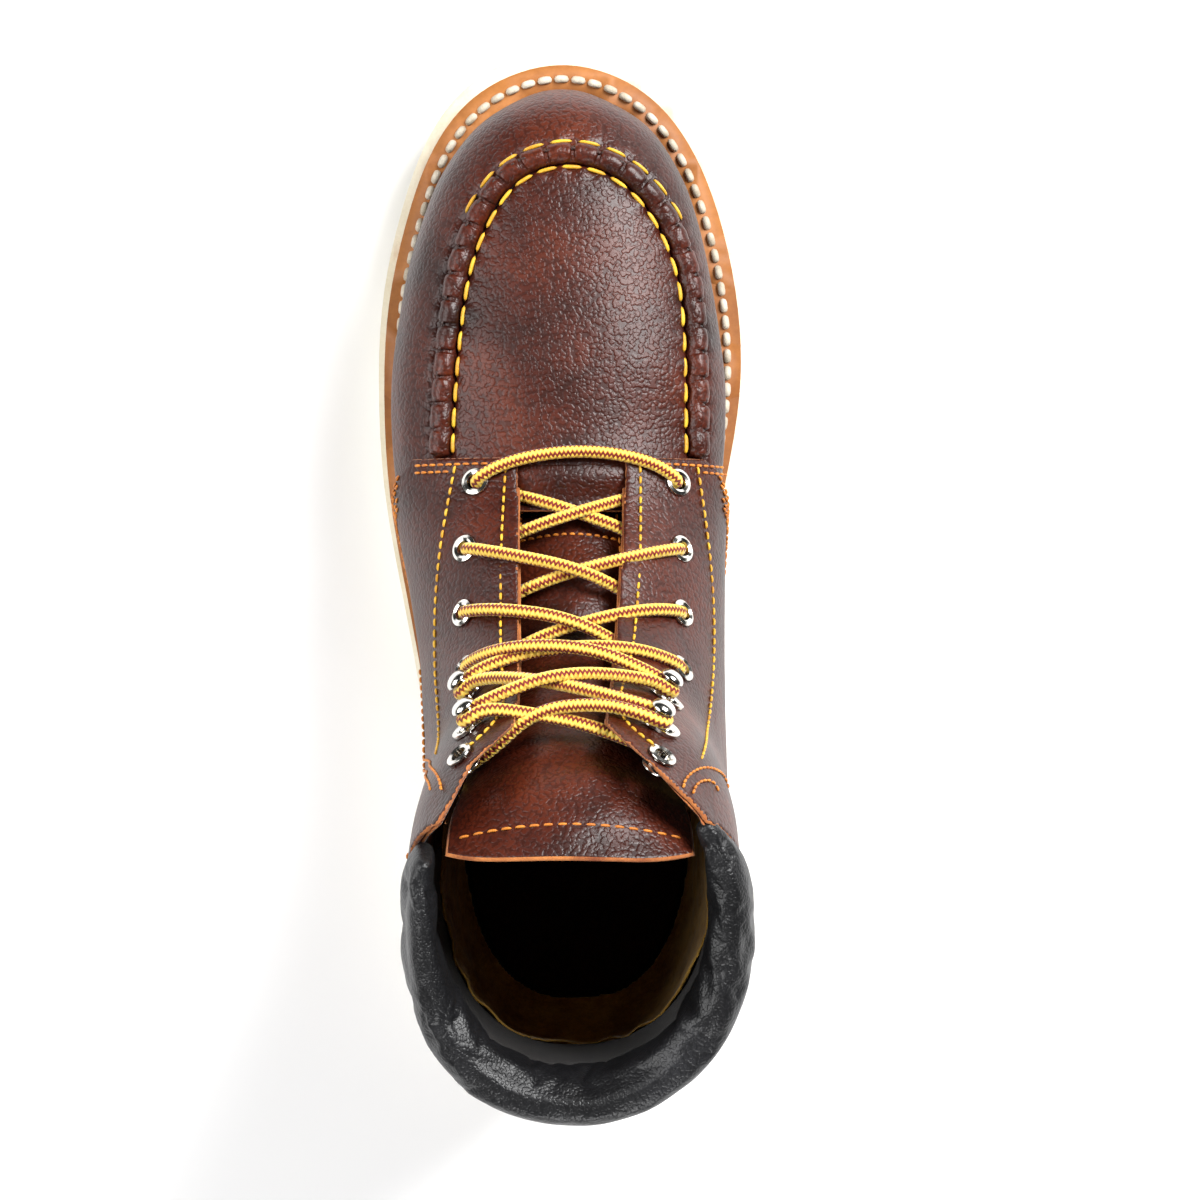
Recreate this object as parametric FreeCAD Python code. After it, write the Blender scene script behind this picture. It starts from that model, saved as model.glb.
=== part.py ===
"""A moc-toe, welted, wedge-sole work boot with a steel toe cap, for the left foot.

Millimetres. The origin is the middle of the sole's length on the ground. +Y is the toe, +X the
inner side of the foot and +Z is up. The upper is drawn on one closed form, the outside of the
lasted boot: a row of stations, each a closed curve in a plane parallel to X. The planes stand
upright in the forefoot, fan back through the ankle and lie nearly flat at the collar. Every layer
of the upper lies at its own depth inside that form."""

import FreeCAD, Part
import math
import os

Vector = FreeCAD.Vector

# alias, value, what it is
DIMENSIONS = [
    ("boot_length", 312.0, "length of the outsole"),
    ("boot_breadth", 116.5, "breadth of the outsole at the ball"),
    ("boot_height", 180.0, "height of the lacing corners"),
    ("seat_fore", 25.0, "top of the welt under the ball"),
    ("seat_heel", 33.0, "top of the welt under the heel"),
    ("toe_spring", 5.0, "rise of the sole at the toe"),
    ("welt_thick", 4.0, "thickness of the welt"),
    ("midsole_thick", 3.5, "thickness of the midsole"),
    ("groove_depth", 2.0, "depth of the tread grooves"),
    ("groove_breadth", 1.6, "breadth of a tread groove"),
    ("groove_pitch", 13.0, "step between tread grooves"),
    ("leather", 2.0, "thickness of the upper leather"),
    ("lining", 1.0, "thickness of the linings"),
    ("layer_gap", 0.12, "clearance between two layers"),
    ("cap_thick", 1.7, "thickness of the steel cap"),
    ("cap_reach", 52.0, "length of the steel cap"),
    ("counter_thick", 2.0, "thickness of the heel counter"),
    ("insole_thick", 2.5, "thickness of the insole board"),
    ("footbed_thick", 5.0, "thickness of the footbed"),
    ("shank_breadth", 18.0, "breadth of the shank"),
    ("shank_thick", 1.5, "thickness of the shank"),
    ("ridge_radius", 3.1, "radius of the gathered seam"),
    ("tongue_depth", 7.6, "depth of the tongue under the form"),
    ("tongue_thick", 2.4, "thickness of the tongue"),
    ("eyelet_bore", 4.8, "bore of an eyelet"),
    ("eyelet_flange", 8.8, "outside of an eyelet's flange"),
    ("eyelet_wall", 0.4, "wall of an eyelet's barrel"),
    ("hook_head", 7.2, "outside of a hook's head"),
    ("hook_plate", 8.4, "breadth of a hook's base plate"),
    ("lace_diameter", 3.8, "diameter of the lace"),
    ("tab_breadth", 35.0, "breadth of the pull tab"),
]


def write_sheet(doc):
    """The driving sizes, one row each."""
    sheet = doc.addObject("Spreadsheet::Sheet", "sizes")
    for row, (alias, value, meaning) in enumerate(DIMENSIONS, start=1):
        sheet.set(f"A{row}", alias)
        sheet.set(f"B{row}", str(value))
        sheet.set(f"C{row}", meaning)
        sheet.setAlias(f"B{row}", alias)
    doc.recompute()
    return sheet


doc = FreeCAD.newDocument("work_boot")
sheet = write_sheet(doc)


def size(alias):
    """One driving size."""
    return float(sheet.get(alias))


# ---------------------------------------------------------------- the form

# the sample size that the stations are drawn in: length, breadth and height
SAMPLE = (312.0, 116.5, 180.0)
GRADE = (
    size("boot_breadth") / SAMPLE[1],
    size("boot_length") / SAMPLE[0],
    size("boot_height") / SAMPLE[2],
)

# top y, top z, base y, base z, outer half breadth, inner half breadth, middle x,
# fraction of the widest place from the top, crown power, base power, lean to the toe
STATIONS = [
    (139.4, 49.5, 139.4, 34.5, 9.5, 9.8, 0.0, 0.55, 2.1, 2.4, 0.97),
    (135.4, 57.0, 135.4, 27.5, 17.8, 18.2, 0.0, 0.56, 2.1, 3.2, 0.88),
    (128.2, 64.0, 128.2, 25.8, 27.2, 27.8, 0.0, 0.57, 2.1, 4.5, 0.68),
    (116.6, 69.2, 116.6, 24.6, 35.6, 35.6, 0.0, 0.56, 2.1, 5.6, 0.42),
    (98.0, 73.2, 98.0, 23.4, 43.6, 42.6, 0.0, 0.56, 2.1, 6.4, 0.2),
    (73.0, 76.4, 73.0, 23.0, 49.4, 47.6, 0.0, 0.56, 2.1, 6.6, 0.06),
    (46.0, 79.0, 46.0, 23.0, 52.4, 50.6, 0.0, 0.57, 2.05, 6.4, 0.0),
    (22.0, 82.6, 22.0, 23.0, 51.4, 49.4, 0.3, 0.58, 2.0, 5.6, 0.0),
    (3.0, 93.5, -8.0, 23.8, 47.8, 47.0, 1.4, 0.6, 2.0, 4.8, 0.0),
    (-13.5, 104.0, -48.0, 26.8, 43.8, 45.2, 2.6, 0.57, 2.0, 4.2, 0.0),
    (-26.0, 114.0, -92.0, 30.2, 42.4, 44.4, 3.4, 0.5, 2.1, 4.0, 0.0),
    (-33.5, 123.0, -127.0, 31.5, 42.4, 44.0, 4.0, 0.46, 2.2, 3.2, 0.0),
    (-38.0, 131.5, -149.0, 45.0, 42.8, 44.2, 4.2, 0.44, 2.3, 2.5, 0.0),
    (-43.0, 143.0, -153.5, 80.0, 43.4, 44.6, 4.3, 0.44, 2.45, 2.25, 0.0),
    (-48.5, 155.5, -152.5, 118.0, 44.2, 45.0, 4.4, 0.45, 2.5, 2.2, 0.0),
    (-53.0, 167.0, -155.5, 148.0, 44.8, 45.4, 4.4, 0.46, 2.25, 2.2, 0.0),
    (-57.0, 180.0, -159.0, 170.0, 45.2, 45.8, 4.4, 0.47, 1.8, 2.2, 0.0),
]
TOE_TIP = (141.0, 43.5)
RING_POINTS = 36
# how much of a depth the form's flat bottom takes up, so that every layer reaches the seat
FLOOR_SHARE = 0.25


def graded(x, y, z):
    """A point of the sample boot, at the real size."""
    return Vector(x * GRADE[0], y * GRADE[1], z * GRADE[2])


def smooth(t):
    """0 below 0, 1 above 1, with level ends."""
    t = min(max(t, 0.0), 1.0)
    return t * t * (3.0 - 2.0 * t)


def natural_spline(values):
    """A function through the values at 0, 1, 2 ..., with continuous curvature."""
    count = len(values)
    bend = [0.0] * count
    upper = [0.0] * count
    right = [0.0] * count
    for i in range(1, count - 1):
        pivot = 4.0 - upper[i - 1]
        upper[i] = 1.0 / pivot
        load = 6.0 * (values[i + 1] - 2.0 * values[i] + values[i - 1])
        right[i] = (load - right[i - 1]) / pivot
    for i in range(count - 2, 0, -1):
        bend[i] = right[i] - upper[i] * bend[i + 1]

    def at(place):
        i = min(max(int(math.floor(place)), 0), count - 2)
        b = place - i
        a = 1.0 - b
        curve = ((a**3 - a) * bend[i] + (b**3 - b) * bend[i + 1]) / 6.0
        return a * values[i] + b * values[i + 1] + curve

    return at


STATION_CURVES = [natural_spline(column) for column in zip(*STATIONS)]


def form_point(place, turn, depth=0.0):
    """A point of the form: place counts stations, turn is in degrees, 0 at the inner side's widest
    line and 90 at the top or front, and depth goes inward."""
    (top_y, top_z, base_y, base_z, outer, inner, middle, widest, crown, base, lean) = [
        curve(place) for curve in STATION_CURVES
    ]
    top = graded(0, top_y, top_z)
    bottom = graded(0, base_y, base_z)
    down = bottom - top
    length = down.Length
    down.normalize()
    upright = math.sqrt(max(0.0, 1.0 - lean * lean))
    inward = depth * upright
    above = length * widest - inward
    share = FLOOR_SHARE + (1.0 - FLOOR_SHARE) * smooth((place - 10.0) / 2.0) if depth > 0 else 1.0
    below = length * (1.0 - widest) - inward * share
    c = math.cos(math.radians(turn))
    s = math.sin(math.radians(turn))
    half = (inner if c >= 0 else outer) * GRADE[0] - inward
    power = crown if s >= 0 else base
    across = math.copysign(abs(c) ** (2.0 / power), c) * half
    rise = abs(s) ** (2.0 / power)
    along = -above * rise if s >= 0 else below * rise
    point = top + down * (length * widest + along)
    return Vector(point.x + across + middle * GRADE[0], point.y - depth * lean, point.z)


def form_normal(place, turn):
    """The outward direction of the form."""
    step = 0.02
    a = form_point(place + step, turn) - form_point(place - step, turn)
    b = form_point(place, turn + step * 20) - form_point(place, turn - step * 20)
    normal = a.cross(b)
    normal.normalize()
    outward = form_point(place, turn) - form_point(place, turn, 1.0)
    return normal if normal.dot(outward) > 0 else normal * -1


def ring(place, depth):
    """A station's closed curve at a depth."""
    turns = [-90.0 + 360.0 * i / RING_POINTS for i in range(RING_POINTS)]
    points = [form_point(place, turn, depth) for turn in turns]
    curve = Part.BSplineCurve()
    steps = [float(i) for i in range(RING_POINTS + 1)]
    curve.interpolate(Points=points, PeriodicFlag=True, Parameters=steps)
    return Part.Wire(curve.toShape())


FORMS = {}


def form_solid(depth):
    """The whole form at a depth, as one solid."""
    if depth not in FORMS:
        tip = graded(0, *TOE_TIP)
        tip.y -= depth
        wires = [Part.Vertex(tip)]
        wires += [ring(float(i), depth) for i in range(len(STATIONS))]
        FORMS[depth] = Part.makeLoft(wires, True, False)
    return FORMS[depth]



# ---------------------------------------------------------------- curves and regions

REACH = 400.0
GAP = size("layer_gap")
LEATHER = size("leather")
LINING = size("lining")
WELT = size("welt_thick")
MIDSOLE = size("midsole_thick")
QUARTER_IN = -GAP
QUARTER_OUT = QUARTER_IN - LEATHER
FACING_OUT = GAP
FACING_IN = FACING_OUT + 1.2
LINING_OUT = LEATHER + 2 * GAP
LINING_IN = LINING_OUT + LINING
CAP_OUT = LEATHER + GAP
CAP_IN = CAP_OUT + size("cap_thick")
VAMP_LINING_OUT = CAP_IN + 2 * GAP
VAMP_LINING_IN = VAMP_LINING_OUT + LINING
SUEDE_OUT = LINING_IN + GAP
SUEDE_IN = SUEDE_OUT + LINING
CAVITY = VAMP_LINING_IN + GAP
MIDDLE_X = 4.3 * GRADE[0]
# where the shaft's rim meets the lacing edges, as turns round the form
CORNERS = (156.0, 398.0)
RIM = 15.95


def seat(y):
    """Height of the welt's top."""
    sample_y = y / GRADE[1]
    rise = size("seat_heel") - size("seat_fore")
    spring = size("toe_spring") * max(0.0, (sample_y - 90.0) / 60.0) ** 2
    return size("seat_fore") + rise * smooth((25.0 - sample_y) / 135.0) + spring


def ground(y):
    """Height of the outsole's bottom, which leaves the ground at the toe."""
    sample_y = y / GRADE[1]
    return 1.4 * size("toe_spring") * max(0.0, (sample_y - 84.0) / 72.0) ** 2


def side_curve(height, y_from, y_to, steps=24):
    """A curve in the plane x = 0 through height(y)."""
    ys = [y_from + (y_to - y_from) * i / steps for i in range(steps + 1)]
    curve = Part.BSplineCurve()
    curve.interpolate(Points=[Vector(0, y, height(y)) for y in ys])
    return curve.toShape()


def side_prism(low, high, y_from, y_to):
    """What lies between two curves of the side view, right across the boot."""
    bottom = side_curve(low, y_from, y_to)
    top = side_curve(high, y_from, y_to)
    ends = [
        Part.LineSegment(Vector(0, y, low(y)), Vector(0, y, high(y))).toShape()
        for y in (y_from, y_to)
    ]
    face = Part.Face(Part.Wire(Part.__sortEdges__([bottom, ends[1], top, ends[0]])))
    face.translate(Vector(-REACH / 2, 0, 0))
    return face.extrude(Vector(REACH, 0, 0))


def side_polygon(points):
    """A region of the side view given by its corners in the sample size, right across."""
    corners = [graded(0, y, z) for y, z in points]
    face = Part.Face(Part.makePolygon(corners + corners[:1]))
    face.translate(Vector(-REACH / 2, 0, 0))
    return face.extrude(Vector(REACH, 0, 0))


def plan_curve(points, closed):
    """A smooth curve of the plan through points of the sample size."""
    curve = Part.BSplineCurve()
    curve.interpolate(Points=[graded(x, y, 0) for x, y in points], PeriodicFlag=closed)
    return curve


# the welt's outer edge, from the heel round by the outer side
WELT_EDGE = [
    (4, -153), (-14, -149.5), (-28.5, -137), (-34.5, -116), (-37.5, -88), (-42, -52),
    (-48.5, -16), (-54, 16), (-55.8, 46), (-54.2, 77), (-48.8, 102), (-40.6, 124),
    (-28.6, 139.6), (-14.2, 147.8), (0, 150.4), (14.2, 147.9), (28.6, 139.6), (40.9, 124),
    (49.7, 102), (54.9, 77), (56, 52), (53.2, 30), (48.4, 4), (46, -28), (45.2, -62),
    (44.4, -94), (42.4, -118), (36.5, -137), (22, -149.5),
]  # fmt: skip
WELT_LENGTH = 303.4
WELT_MIDDLE = -1.3


def edge_prism(across, along, z_to=260.0):
    """The plan inside the welt's edge, stretched across and along about its middle."""
    points = [(x * across, (y - WELT_MIDDLE) * along) for x, y in WELT_EDGE]
    face = Part.Face(Part.Wire(plan_curve(points, True).toShape()))
    return face.extrude(Vector(0, 0, z_to))


OUTSOLE_ACROSS = 1.038
OUTSOLE_ALONG = SAMPLE[0] / WELT_LENGTH


def inside_edge(margin):
    """The plan inside a line that runs margin inside the welt's edge."""
    half = 56.0 * GRADE[0]
    reach = WELT_LENGTH / 2 * GRADE[1]
    prism = edge_prism(1 - margin / half, 1 - margin / reach)
    prism.translate(Vector(0, WELT_MIDDLE * GRADE[1], 0))
    return prism


def above_seat(lift=0.0):
    """Everything above the welt's top."""
    return side_prism(lambda y: seat(y) + lift, lambda y: 300.0, -230, 200)


def seat_layer(low, high):
    """A layer that follows the seat, from low to high above it."""
    return side_prism(lambda y: seat(y) + low, lambda y: seat(y) + high, -230, 200)


def layer(outside, inside):
    """The shell of the form between two depths, down to the seat."""
    shell = form_solid(outside).common(above_seat())
    return shell.cut(form_solid(inside))


def box(x0, x1, y0, y1, z0=0.0, z1=300.0):
    """A plain box between three pairs of planes."""
    return Part.makeBox(x1 - x0, y1 - y0, z1 - z0, Vector(x0, y0, z0))


# the centre line of the gathered seam, from the outer side round the toe
SEAM = [
    (-36.4, 26.6), (-35.7, 44), (-32.8, 74), (-27.8, 93.4), (-18.6, 109.2), (-8.4, 116.2),
    (2.4, 118.4), (13.1, 116.4), (23.0, 110.6), (32.0, 99.6), (38.0, 86), (40.8, 70),
    (41.7, 44), (41.8, 26.6),
]  # fmt: skip
# the line where the quarters' front ends on the vamp, and how it runs down to the welt
QUARTER_FRONT = 26.0
QUARTER_FRONT_SIDE = [(26, 66), (8, 47), (-18, 34), (-30, 10)]
VAMP_REAR_SIDE = [(23, 68), (-8, 45), (-34, 31), (-44, 10)]
# the lacing edges in plan, from the throat up to the rim
OUTER_EDGE = [(-12.6, 40), (-12.2, 0), (-11.2, -40), (-11.5, -51), (-24, -62.5)]
INNER_EDGE = [(19.7, 40), (18.6, 0), (15.4, -40), (13.5, -51.5), (25.5, -61.5)]


def rim_point(turn, depth=0.0):
    return form_point(RIM, turn, depth)


def lacing_gap(grow=0.0):
    """The plan of the opening between the lacing edges, grown by a margin on each side."""
    left, right = [rim_point(turn) for turn in CORNERS]
    corners = [graded(x, y, 0) + Vector(-grow, 0, 0) for x, y in OUTER_EDGE]
    corners += [Vector(left.x - grow, left.y, 0), Vector(left.x - grow - 2, left.y - 6, 0)]
    corners += [Vector(right.x + grow + 2, right.y - 6, 0), Vector(right.x + grow, right.y, 0)]
    corners += [graded(x, y, 0) + Vector(grow, 0, 0) for x, y in reversed(INNER_EDGE)]
    face = Part.Face(Part.makePolygon(corners + corners[:1]))
    return face.extrude(Vector(0, 0, 300))


# the quarters' upper edge in the side view, from the heel to the lacing corner
TOP_EDGE = [(-200, 132.5), (-155, 142), (-112, 151), (-96, 156), (-86, 163.5), (-79, 175)]


def top_edge(y):
    """Height of the quarters' upper edge at y."""
    points = [(a * GRADE[1], b * GRADE[2]) for a, b in TOP_EDGE]
    for (y0, z0), (y1, z1) in zip(points, points[1:]):
        if y <= y1:
            return z0 + (z1 - z0) * (y - y0) / (y1 - y0)
    return points[-1][1]


def below_top_edge(drop=0.0):
    """Everything under the quarters' upper edge, and all of the lacing part."""
    tail = [(-79, 176), (-76, 200), (60, 200), (60, 0), (-230, 0), (-230, 130)]
    region = side_polygon(TOP_EDGE + tail)
    region.translate(Vector(0, 0, -drop))
    return region


def on_form(x, y, depth=0.0):
    """The place and turn of the form's top or front surface above a plan point."""
    place, turn = 8.0, 90.0
    for _ in range(60):
        point = form_point(place, turn, depth)
        error = Vector(x - point.x, y - point.y, 0)
        if abs(error.x) + abs(error.y) < 1e-6:
            break
        step = 1e-4
        by_place = (form_point(place + step, turn, depth) - point) * (1 / step)
        by_turn = (form_point(place, turn + step, depth) - point) * (1 / step)
        det = by_place.x * by_turn.y - by_turn.x * by_place.y
        d_place = (error.x * by_turn.y - by_turn.x * error.y) / det
        d_turn = (by_place.x * error.y - error.x * by_place.y) / det
        place += min(max(d_place, -1.0), 1.0)
        turn += min(max(d_turn, -15.0), 15.0)
        place = min(max(place, 0.1), 15.99)
        turn = min(max(turn, 3.0), 177.0)
    return place, turn


def over(x, y, depth=0.0):
    """The point of the form above a plan point of the sample size."""
    place, turn = on_form(x * GRADE[0], y * GRADE[1], depth)
    return form_point(place, turn, depth)


def part_feature(name, shape):
    """A sub-part whose shape is made here."""
    feature = doc.addObject("Part::Feature", name)
    feature.Shape = shape
    feature.Label = name
    return feature


def main_solid(shape):
    """The shape's one solid; crumbs left by a cut are dropped."""
    return sorted(shape.Solids, key=lambda solid: -solid.Volume)[0]


NODES = []


def node(name, shape):
    """One sub-part that stands in the document and is written out."""
    feature = part_feature(name, shape)
    NODES.append(feature)
    return feature


# ---------------------------------------------------------------- the bottom


def make_bottom():
    welt_edge = inside_edge(0.0)
    inner = inside_edge(13.0)
    node("welt", main_solid(welt_edge.cut(inner).common(seat_layer(-WELT, 0))))
    filler = inner.common(seat_layer(-WELT, 0))
    shank_top = -0.6
    shank = box(
        MIDDLE_X - size("shank_breadth") / 2, MIDDLE_X + size("shank_breadth") / 2,
        -105 * GRADE[1], 25 * GRADE[1],
    ).common(seat_layer(shank_top - size("shank_thick"), shank_top))  # fmt: skip
    node("shank", main_solid(shank))
    node("cork_filler", main_solid(filler.cut(shank)))
    node("midsole", main_solid(welt_edge.common(seat_layer(-WELT - MIDSOLE, -WELT))))
    body = side_prism(ground, lambda y: seat(y) - WELT - MIDSOLE, -230, 200)
    body = body.common(edge_prism(OUTSOLE_ACROSS, OUTSOLE_ALONG))
    tread = edge_prism(OUTSOLE_ACROSS * 0.86, OUTSOLE_ALONG * 0.94)
    count = int(size("boot_length") * 0.82 / size("groove_pitch"))
    grooves = []
    for i in range(count):
        y = (i - (count - 1) / 2) * size("groove_pitch")
        z = ground(y)
        half = size("groove_breadth") / 2
        grooves.append(box(-REACH / 2, REACH / 2, y - half, y + half, z - 5, z + size("groove_depth")))
    body = body.cut(Part.makeCompound(grooves).common(tread))
    node("outsole", main_solid(body))
    board = form_solid(CAVITY).common(seat_layer(0, size("insole_thick")))
    node("insole_board", main_solid(board))
    low = size("insole_thick") + GAP
    bed = form_solid(CAVITY).common(seat_layer(low, low + size("footbed_thick")))
    node("footbed", main_solid(bed))


# ---------------------------------------------------------------- the upper


def seam_line(lift):
    """The gathered seam's centre line on the form, lifted off it."""
    points = [over(x, y, -lift) for x, y in SEAM]
    curve = Part.BSplineCurve()
    curve.interpolate(Points=points)
    return curve


def seam_ridge():
    """The gathered edge that stands along the seam: a round bead."""
    curve = seam_line(0.6)
    path = Part.Wire(curve.toShape())
    start = curve.value(curve.FirstParameter)
    tangent = curve.tangent(curve.FirstParameter)[0]
    circle = Part.makeCircle(size("ridge_radius"), start, tangent)
    return path.makePipeShell([Part.Wire(circle)], True, True)


def plug_prism():
    """The plan inside the gathered seam."""
    curve = plan_curve(SEAM, False).toShape()
    corners = [graded(SEAM[-1][0], SEAM[-1][1], 0), graded(SEAM[-1][0], 0, 0)]
    corners += [graded(SEAM[0][0], 0, 0), graded(SEAM[0][0], SEAM[0][1], 0)]
    rest = Part.makePolygon(corners)
    face = Part.Face(Part.Wire([curve] + rest.Edges))
    face.translate(Vector(0, 0, 50))
    return face.extrude(Vector(0, 0, 100))


def make_forefoot():
    shell = layer(0.0, LEATHER)
    front = [(190, 0), (190, 140), (23, 140)] + VAMP_REAR_SIDE + [(-44, 0)]
    shell = shell.common(side_polygon(front))
    ridge = seam_ridge().cut(form_solid(LEATHER))
    plug = shell.common(plug_prism()).cut(ridge)
    vamp = shell.cut(plug_prism()).fuse(ridge)
    node("vamp", main_solid(vamp))
    node("moc_plug", main_solid(plug))
    cap_rear = TOE_TIP[0] * GRADE[1] - size("cap_reach")
    cap = layer(CAP_OUT, CAP_IN)
    node("steel_toe_cap", main_solid(cap.common(box(-100, 100, cap_rear, 300))))
    edge = cap.common(box(-100, 100, cap_rear - 7, cap_rear))
    node("toe_cap_edge", main_solid(edge))
    lining = layer(VAMP_LINING_OUT, VAMP_LINING_IN)
    node("vamp_lining", main_solid(lining.common(box(-100, 100, 18 * GRADE[1], 300))))


def quarter_region():
    """Behind the quarters' front edge and under their upper edge."""
    front = side_polygon([(QUARTER_FRONT, 240)] + QUARTER_FRONT_SIDE + [(-30, -5), (-230, -5), (-230, 240)])
    return front.common(below_top_edge())


def bores(diameter):
    """Cylinders through the lacing edges where the eyelets and rivets sit."""
    cylinders = []
    for centre, normal in eyelet_places() + hook_places():
        cylinders.append(Part.makeCylinder(diameter / 2, 16, centre - normal * 8, normal))
    return Part.makeCompound(cylinders)


def make_quarters(collar):
    eyelet_barrel = size("eyelet_bore") + 2 * size("eyelet_wall")
    holes = bores(eyelet_barrel + 0.2)
    region = quarter_region()
    gap = lacing_gap()
    shell = layer(QUARTER_OUT, QUARTER_IN).common(region).cut(gap).cut(holes).cut(collar)
    outer = box(-200, MIDDLE_X - GAP / 2, -300, 300)
    inner = box(MIDDLE_X + GAP / 2, 200, -300, 300)
    node("quarter_lateral", main_solid(shell.common(outer)))
    node("quarter_medial", main_solid(shell.common(inner)))
    strip = layer(FACING_OUT, FACING_IN).common(below_top_edge(1.0))
    strip = strip.common(box(-200, 200, -90 * GRADE[1], 17 * GRADE[1]))
    strip = strip.common(lacing_gap(26.0)).cut(lacing_gap(-0.5)).cut(holes).cut(collar)
    strip = strip.common(side_polygon([(17, 60), (-5, 60), (-30, 80), (-100, 130), (-100, 250), (17, 250)]))
    node("facing_lateral", main_solid(strip.common(outer)))
    node("facing_medial", main_solid(strip.common(inner)))
    lining = layer(LINING_OUT, LINING_IN).common(below_top_edge(1.0))
    lining = lining.common(box(-200, 200, -300, 17.5 * GRADE[1])).cut(lacing_gap(27.0))
    lining = lining.cut(collar)
    node("quarter_lining", main_solid(lining))
    heel = side_polygon([(-95, 0), (-84, 60), (-100, 92), (-230, 104), (-230, 0)])
    counter = layer(GAP, GAP + size("counter_thick"))
    node("heel_counter", main_solid(counter.common(heel)))
    suede_area = side_polygon([(-72, 38), (-84, 80), (-100, 98), (-230, 104), (-230, 38)])
    suede_floor = above_seat(size("insole_thick") + size("footbed_thick") + 2 * GAP)
    suede = layer(SUEDE_OUT, SUEDE_IN).common(suede_area).common(suede_floor)
    node("heel_lining", main_solid(suede))
    stay = layer(QUARTER_OUT - GAP - 1.5, QUARTER_OUT - GAP)
    stay = stay.common(box(MIDDLE_X - 10, MIDDLE_X + 10, -300, -90))
    stay = stay.common(side_polygon([(-90, 0), (-90, 118), (-230, 126), (-230, 0)]))
    node("backstay", main_solid(stay))


# ---------------------------------------------------------------- the collar and the tab


def edge_place(turn):
    """Where the form crosses the quarters' upper edge at a turn."""
    low, high = 13.0, RIM
    for _ in range(40):
        middle = (low + high) / 2
        point = form_point(middle, turn)
        if point.z > top_edge(point.y):
            high = middle
        else:
            low = middle
    return low


def collar_solid(inset, drop=0.0):
    """The padded roll round the top, its surface moved in by inset and its foot down by drop."""
    count = 17
    wires = []
    for i in range(count):
        t = i / (count - 1)
        turn = CORNERS[0] + 3 + (CORNERS[1] - CORNERS[0] - 6) * t
        swell = math.sin(math.pi * t) ** 0.5 if 0 < t < 1 else 0.0
        half_thick = 1.9 + 3.5 * min(1.0, 1.25 * swell)
        bottom = form_point(min(edge_place(turn), RIM - 0.25), turn, 1.3)
        top = form_point(RIM, turn, 1.3)
        bottom.z -= 1.5 + drop
        up = top - bottom
        half_height = up.Length / 2
        up.normalize()
        normal = form_normal(RIM - 0.6, turn)
        normal = normal - up * normal.dot(up)
        normal.normalize()
        centre = (top + bottom) * 0.5
        points = []
        steps = 16
        for k in range(steps):
            angle = 2 * math.pi * k / steps
            c, s = math.cos(angle), math.sin(angle)
            across = math.copysign(abs(c) ** 0.8, c) * (half_thick - inset)
            along = math.copysign(abs(s) ** 0.8, s) * (half_height - inset)
            points.append(centre + normal * across + up * along)
        curve = Part.BSplineCurve()
        marks = [float(k) for k in range(steps + 1)]
        curve.interpolate(Points=points, PeriodicFlag=True, Parameters=marks)
        wires.append(Part.Wire(curve.toShape()))
    return Part.makeLoft(wires, True, False)


def make_collar():
    outer = collar_solid(0.0)
    inner = collar_solid(1.1, 5.0)
    node("collar_cover", main_solid(outer.cut(inner)))
    foam = collar_solid(1.1 + GAP, 5.0).common(outer)
    node("collar_foam", main_solid(foam))
    return outer


def make_pull_tab(collar):
    """A strap that stands off the collar's back between its two sewn ends: a band of two arcs,
    drawn flat and padded upward, with its ends trimmed to what they are sewn to."""
    body = doc.addObject("PartDesign::Body", "pull_tab_band")
    plane = [f for f in body.Origin.OriginFeatures if f.Role == "XY_Plane"][0]
    sketch = body.newObject("Sketcher::SketchObject", "tab_outline")
    sketch.AttachmentSupport = [(plane, "")]
    sketch.MapMode = "FlatFace"
    half = size("tab_breadth") / 2
    bulge, thick = 7.0, 2.0
    radius = (half * half + bulge * bulge) / (2 * bulge)
    centre = Vector(0, -bulge + radius, 0)
    swing = math.asin(half / radius)
    start, end = 1.5 * math.pi - swing, 1.5 * math.pi + swing
    outer = Part.ArcOfCircle(Part.Circle(centre, Vector(0, 0, 1), radius), start, end)
    inner = Part.ArcOfCircle(Part.Circle(centre, Vector(0, 0, 1), radius - thick), start, end)
    first = sketch.addGeometry(outer, False)
    second = sketch.addGeometry(inner, False)
    left = sketch.addGeometry(Part.LineSegment(outer.StartPoint, inner.StartPoint), False)
    right = sketch.addGeometry(Part.LineSegment(outer.EndPoint, inner.EndPoint), False)
    pad = body.newObject("PartDesign::Pad", "tab_pad")
    pad.Profile = sketch
    pad.Length = 26.0
    body.Tip = pad
    doc.recompute()
    band = body.Shape.copy()
    back = form_point(14.9, 270.0, QUARTER_OUT)
    band.rotate(Vector(0, 0, 0), Vector(1, 0, 0), 5.0)
    band.translate(Vector(MIDDLE_X + 2.0, back.y + 2.2, back.z - 14.0))
    trimmed = band.cut(collar).cut(form_solid(QUARTER_OUT - 0.05))
    node("pull_tab", main_solid(trimmed))


# ---------------------------------------------------------------- the tongue

# centre line in the side view (y, z), half breadth and drop of the edges, from the base up
TONGUE = [
    (17.5, 75.2, 17.0, 3.0), (8, 79.2, 20.0, 5.4), (-8, 91.0, 22.0, 9.2),
    (-21.9, 100.2, 23.5, 12.4), (-33.6, 110.7, 25.0, 14.6), (-44.2, 126.0, 27.0, 17.2),
    (-50.8, 141.5, 29.0, 16.0), (-58.4, 156.5, 31.0, 15.2), (-69, 170.5, 33.0, 13.0),
    (-87.5, 182.5, 34.0, 6.5),
]  # fmt: skip
TONGUE_X = 3.6


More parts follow.
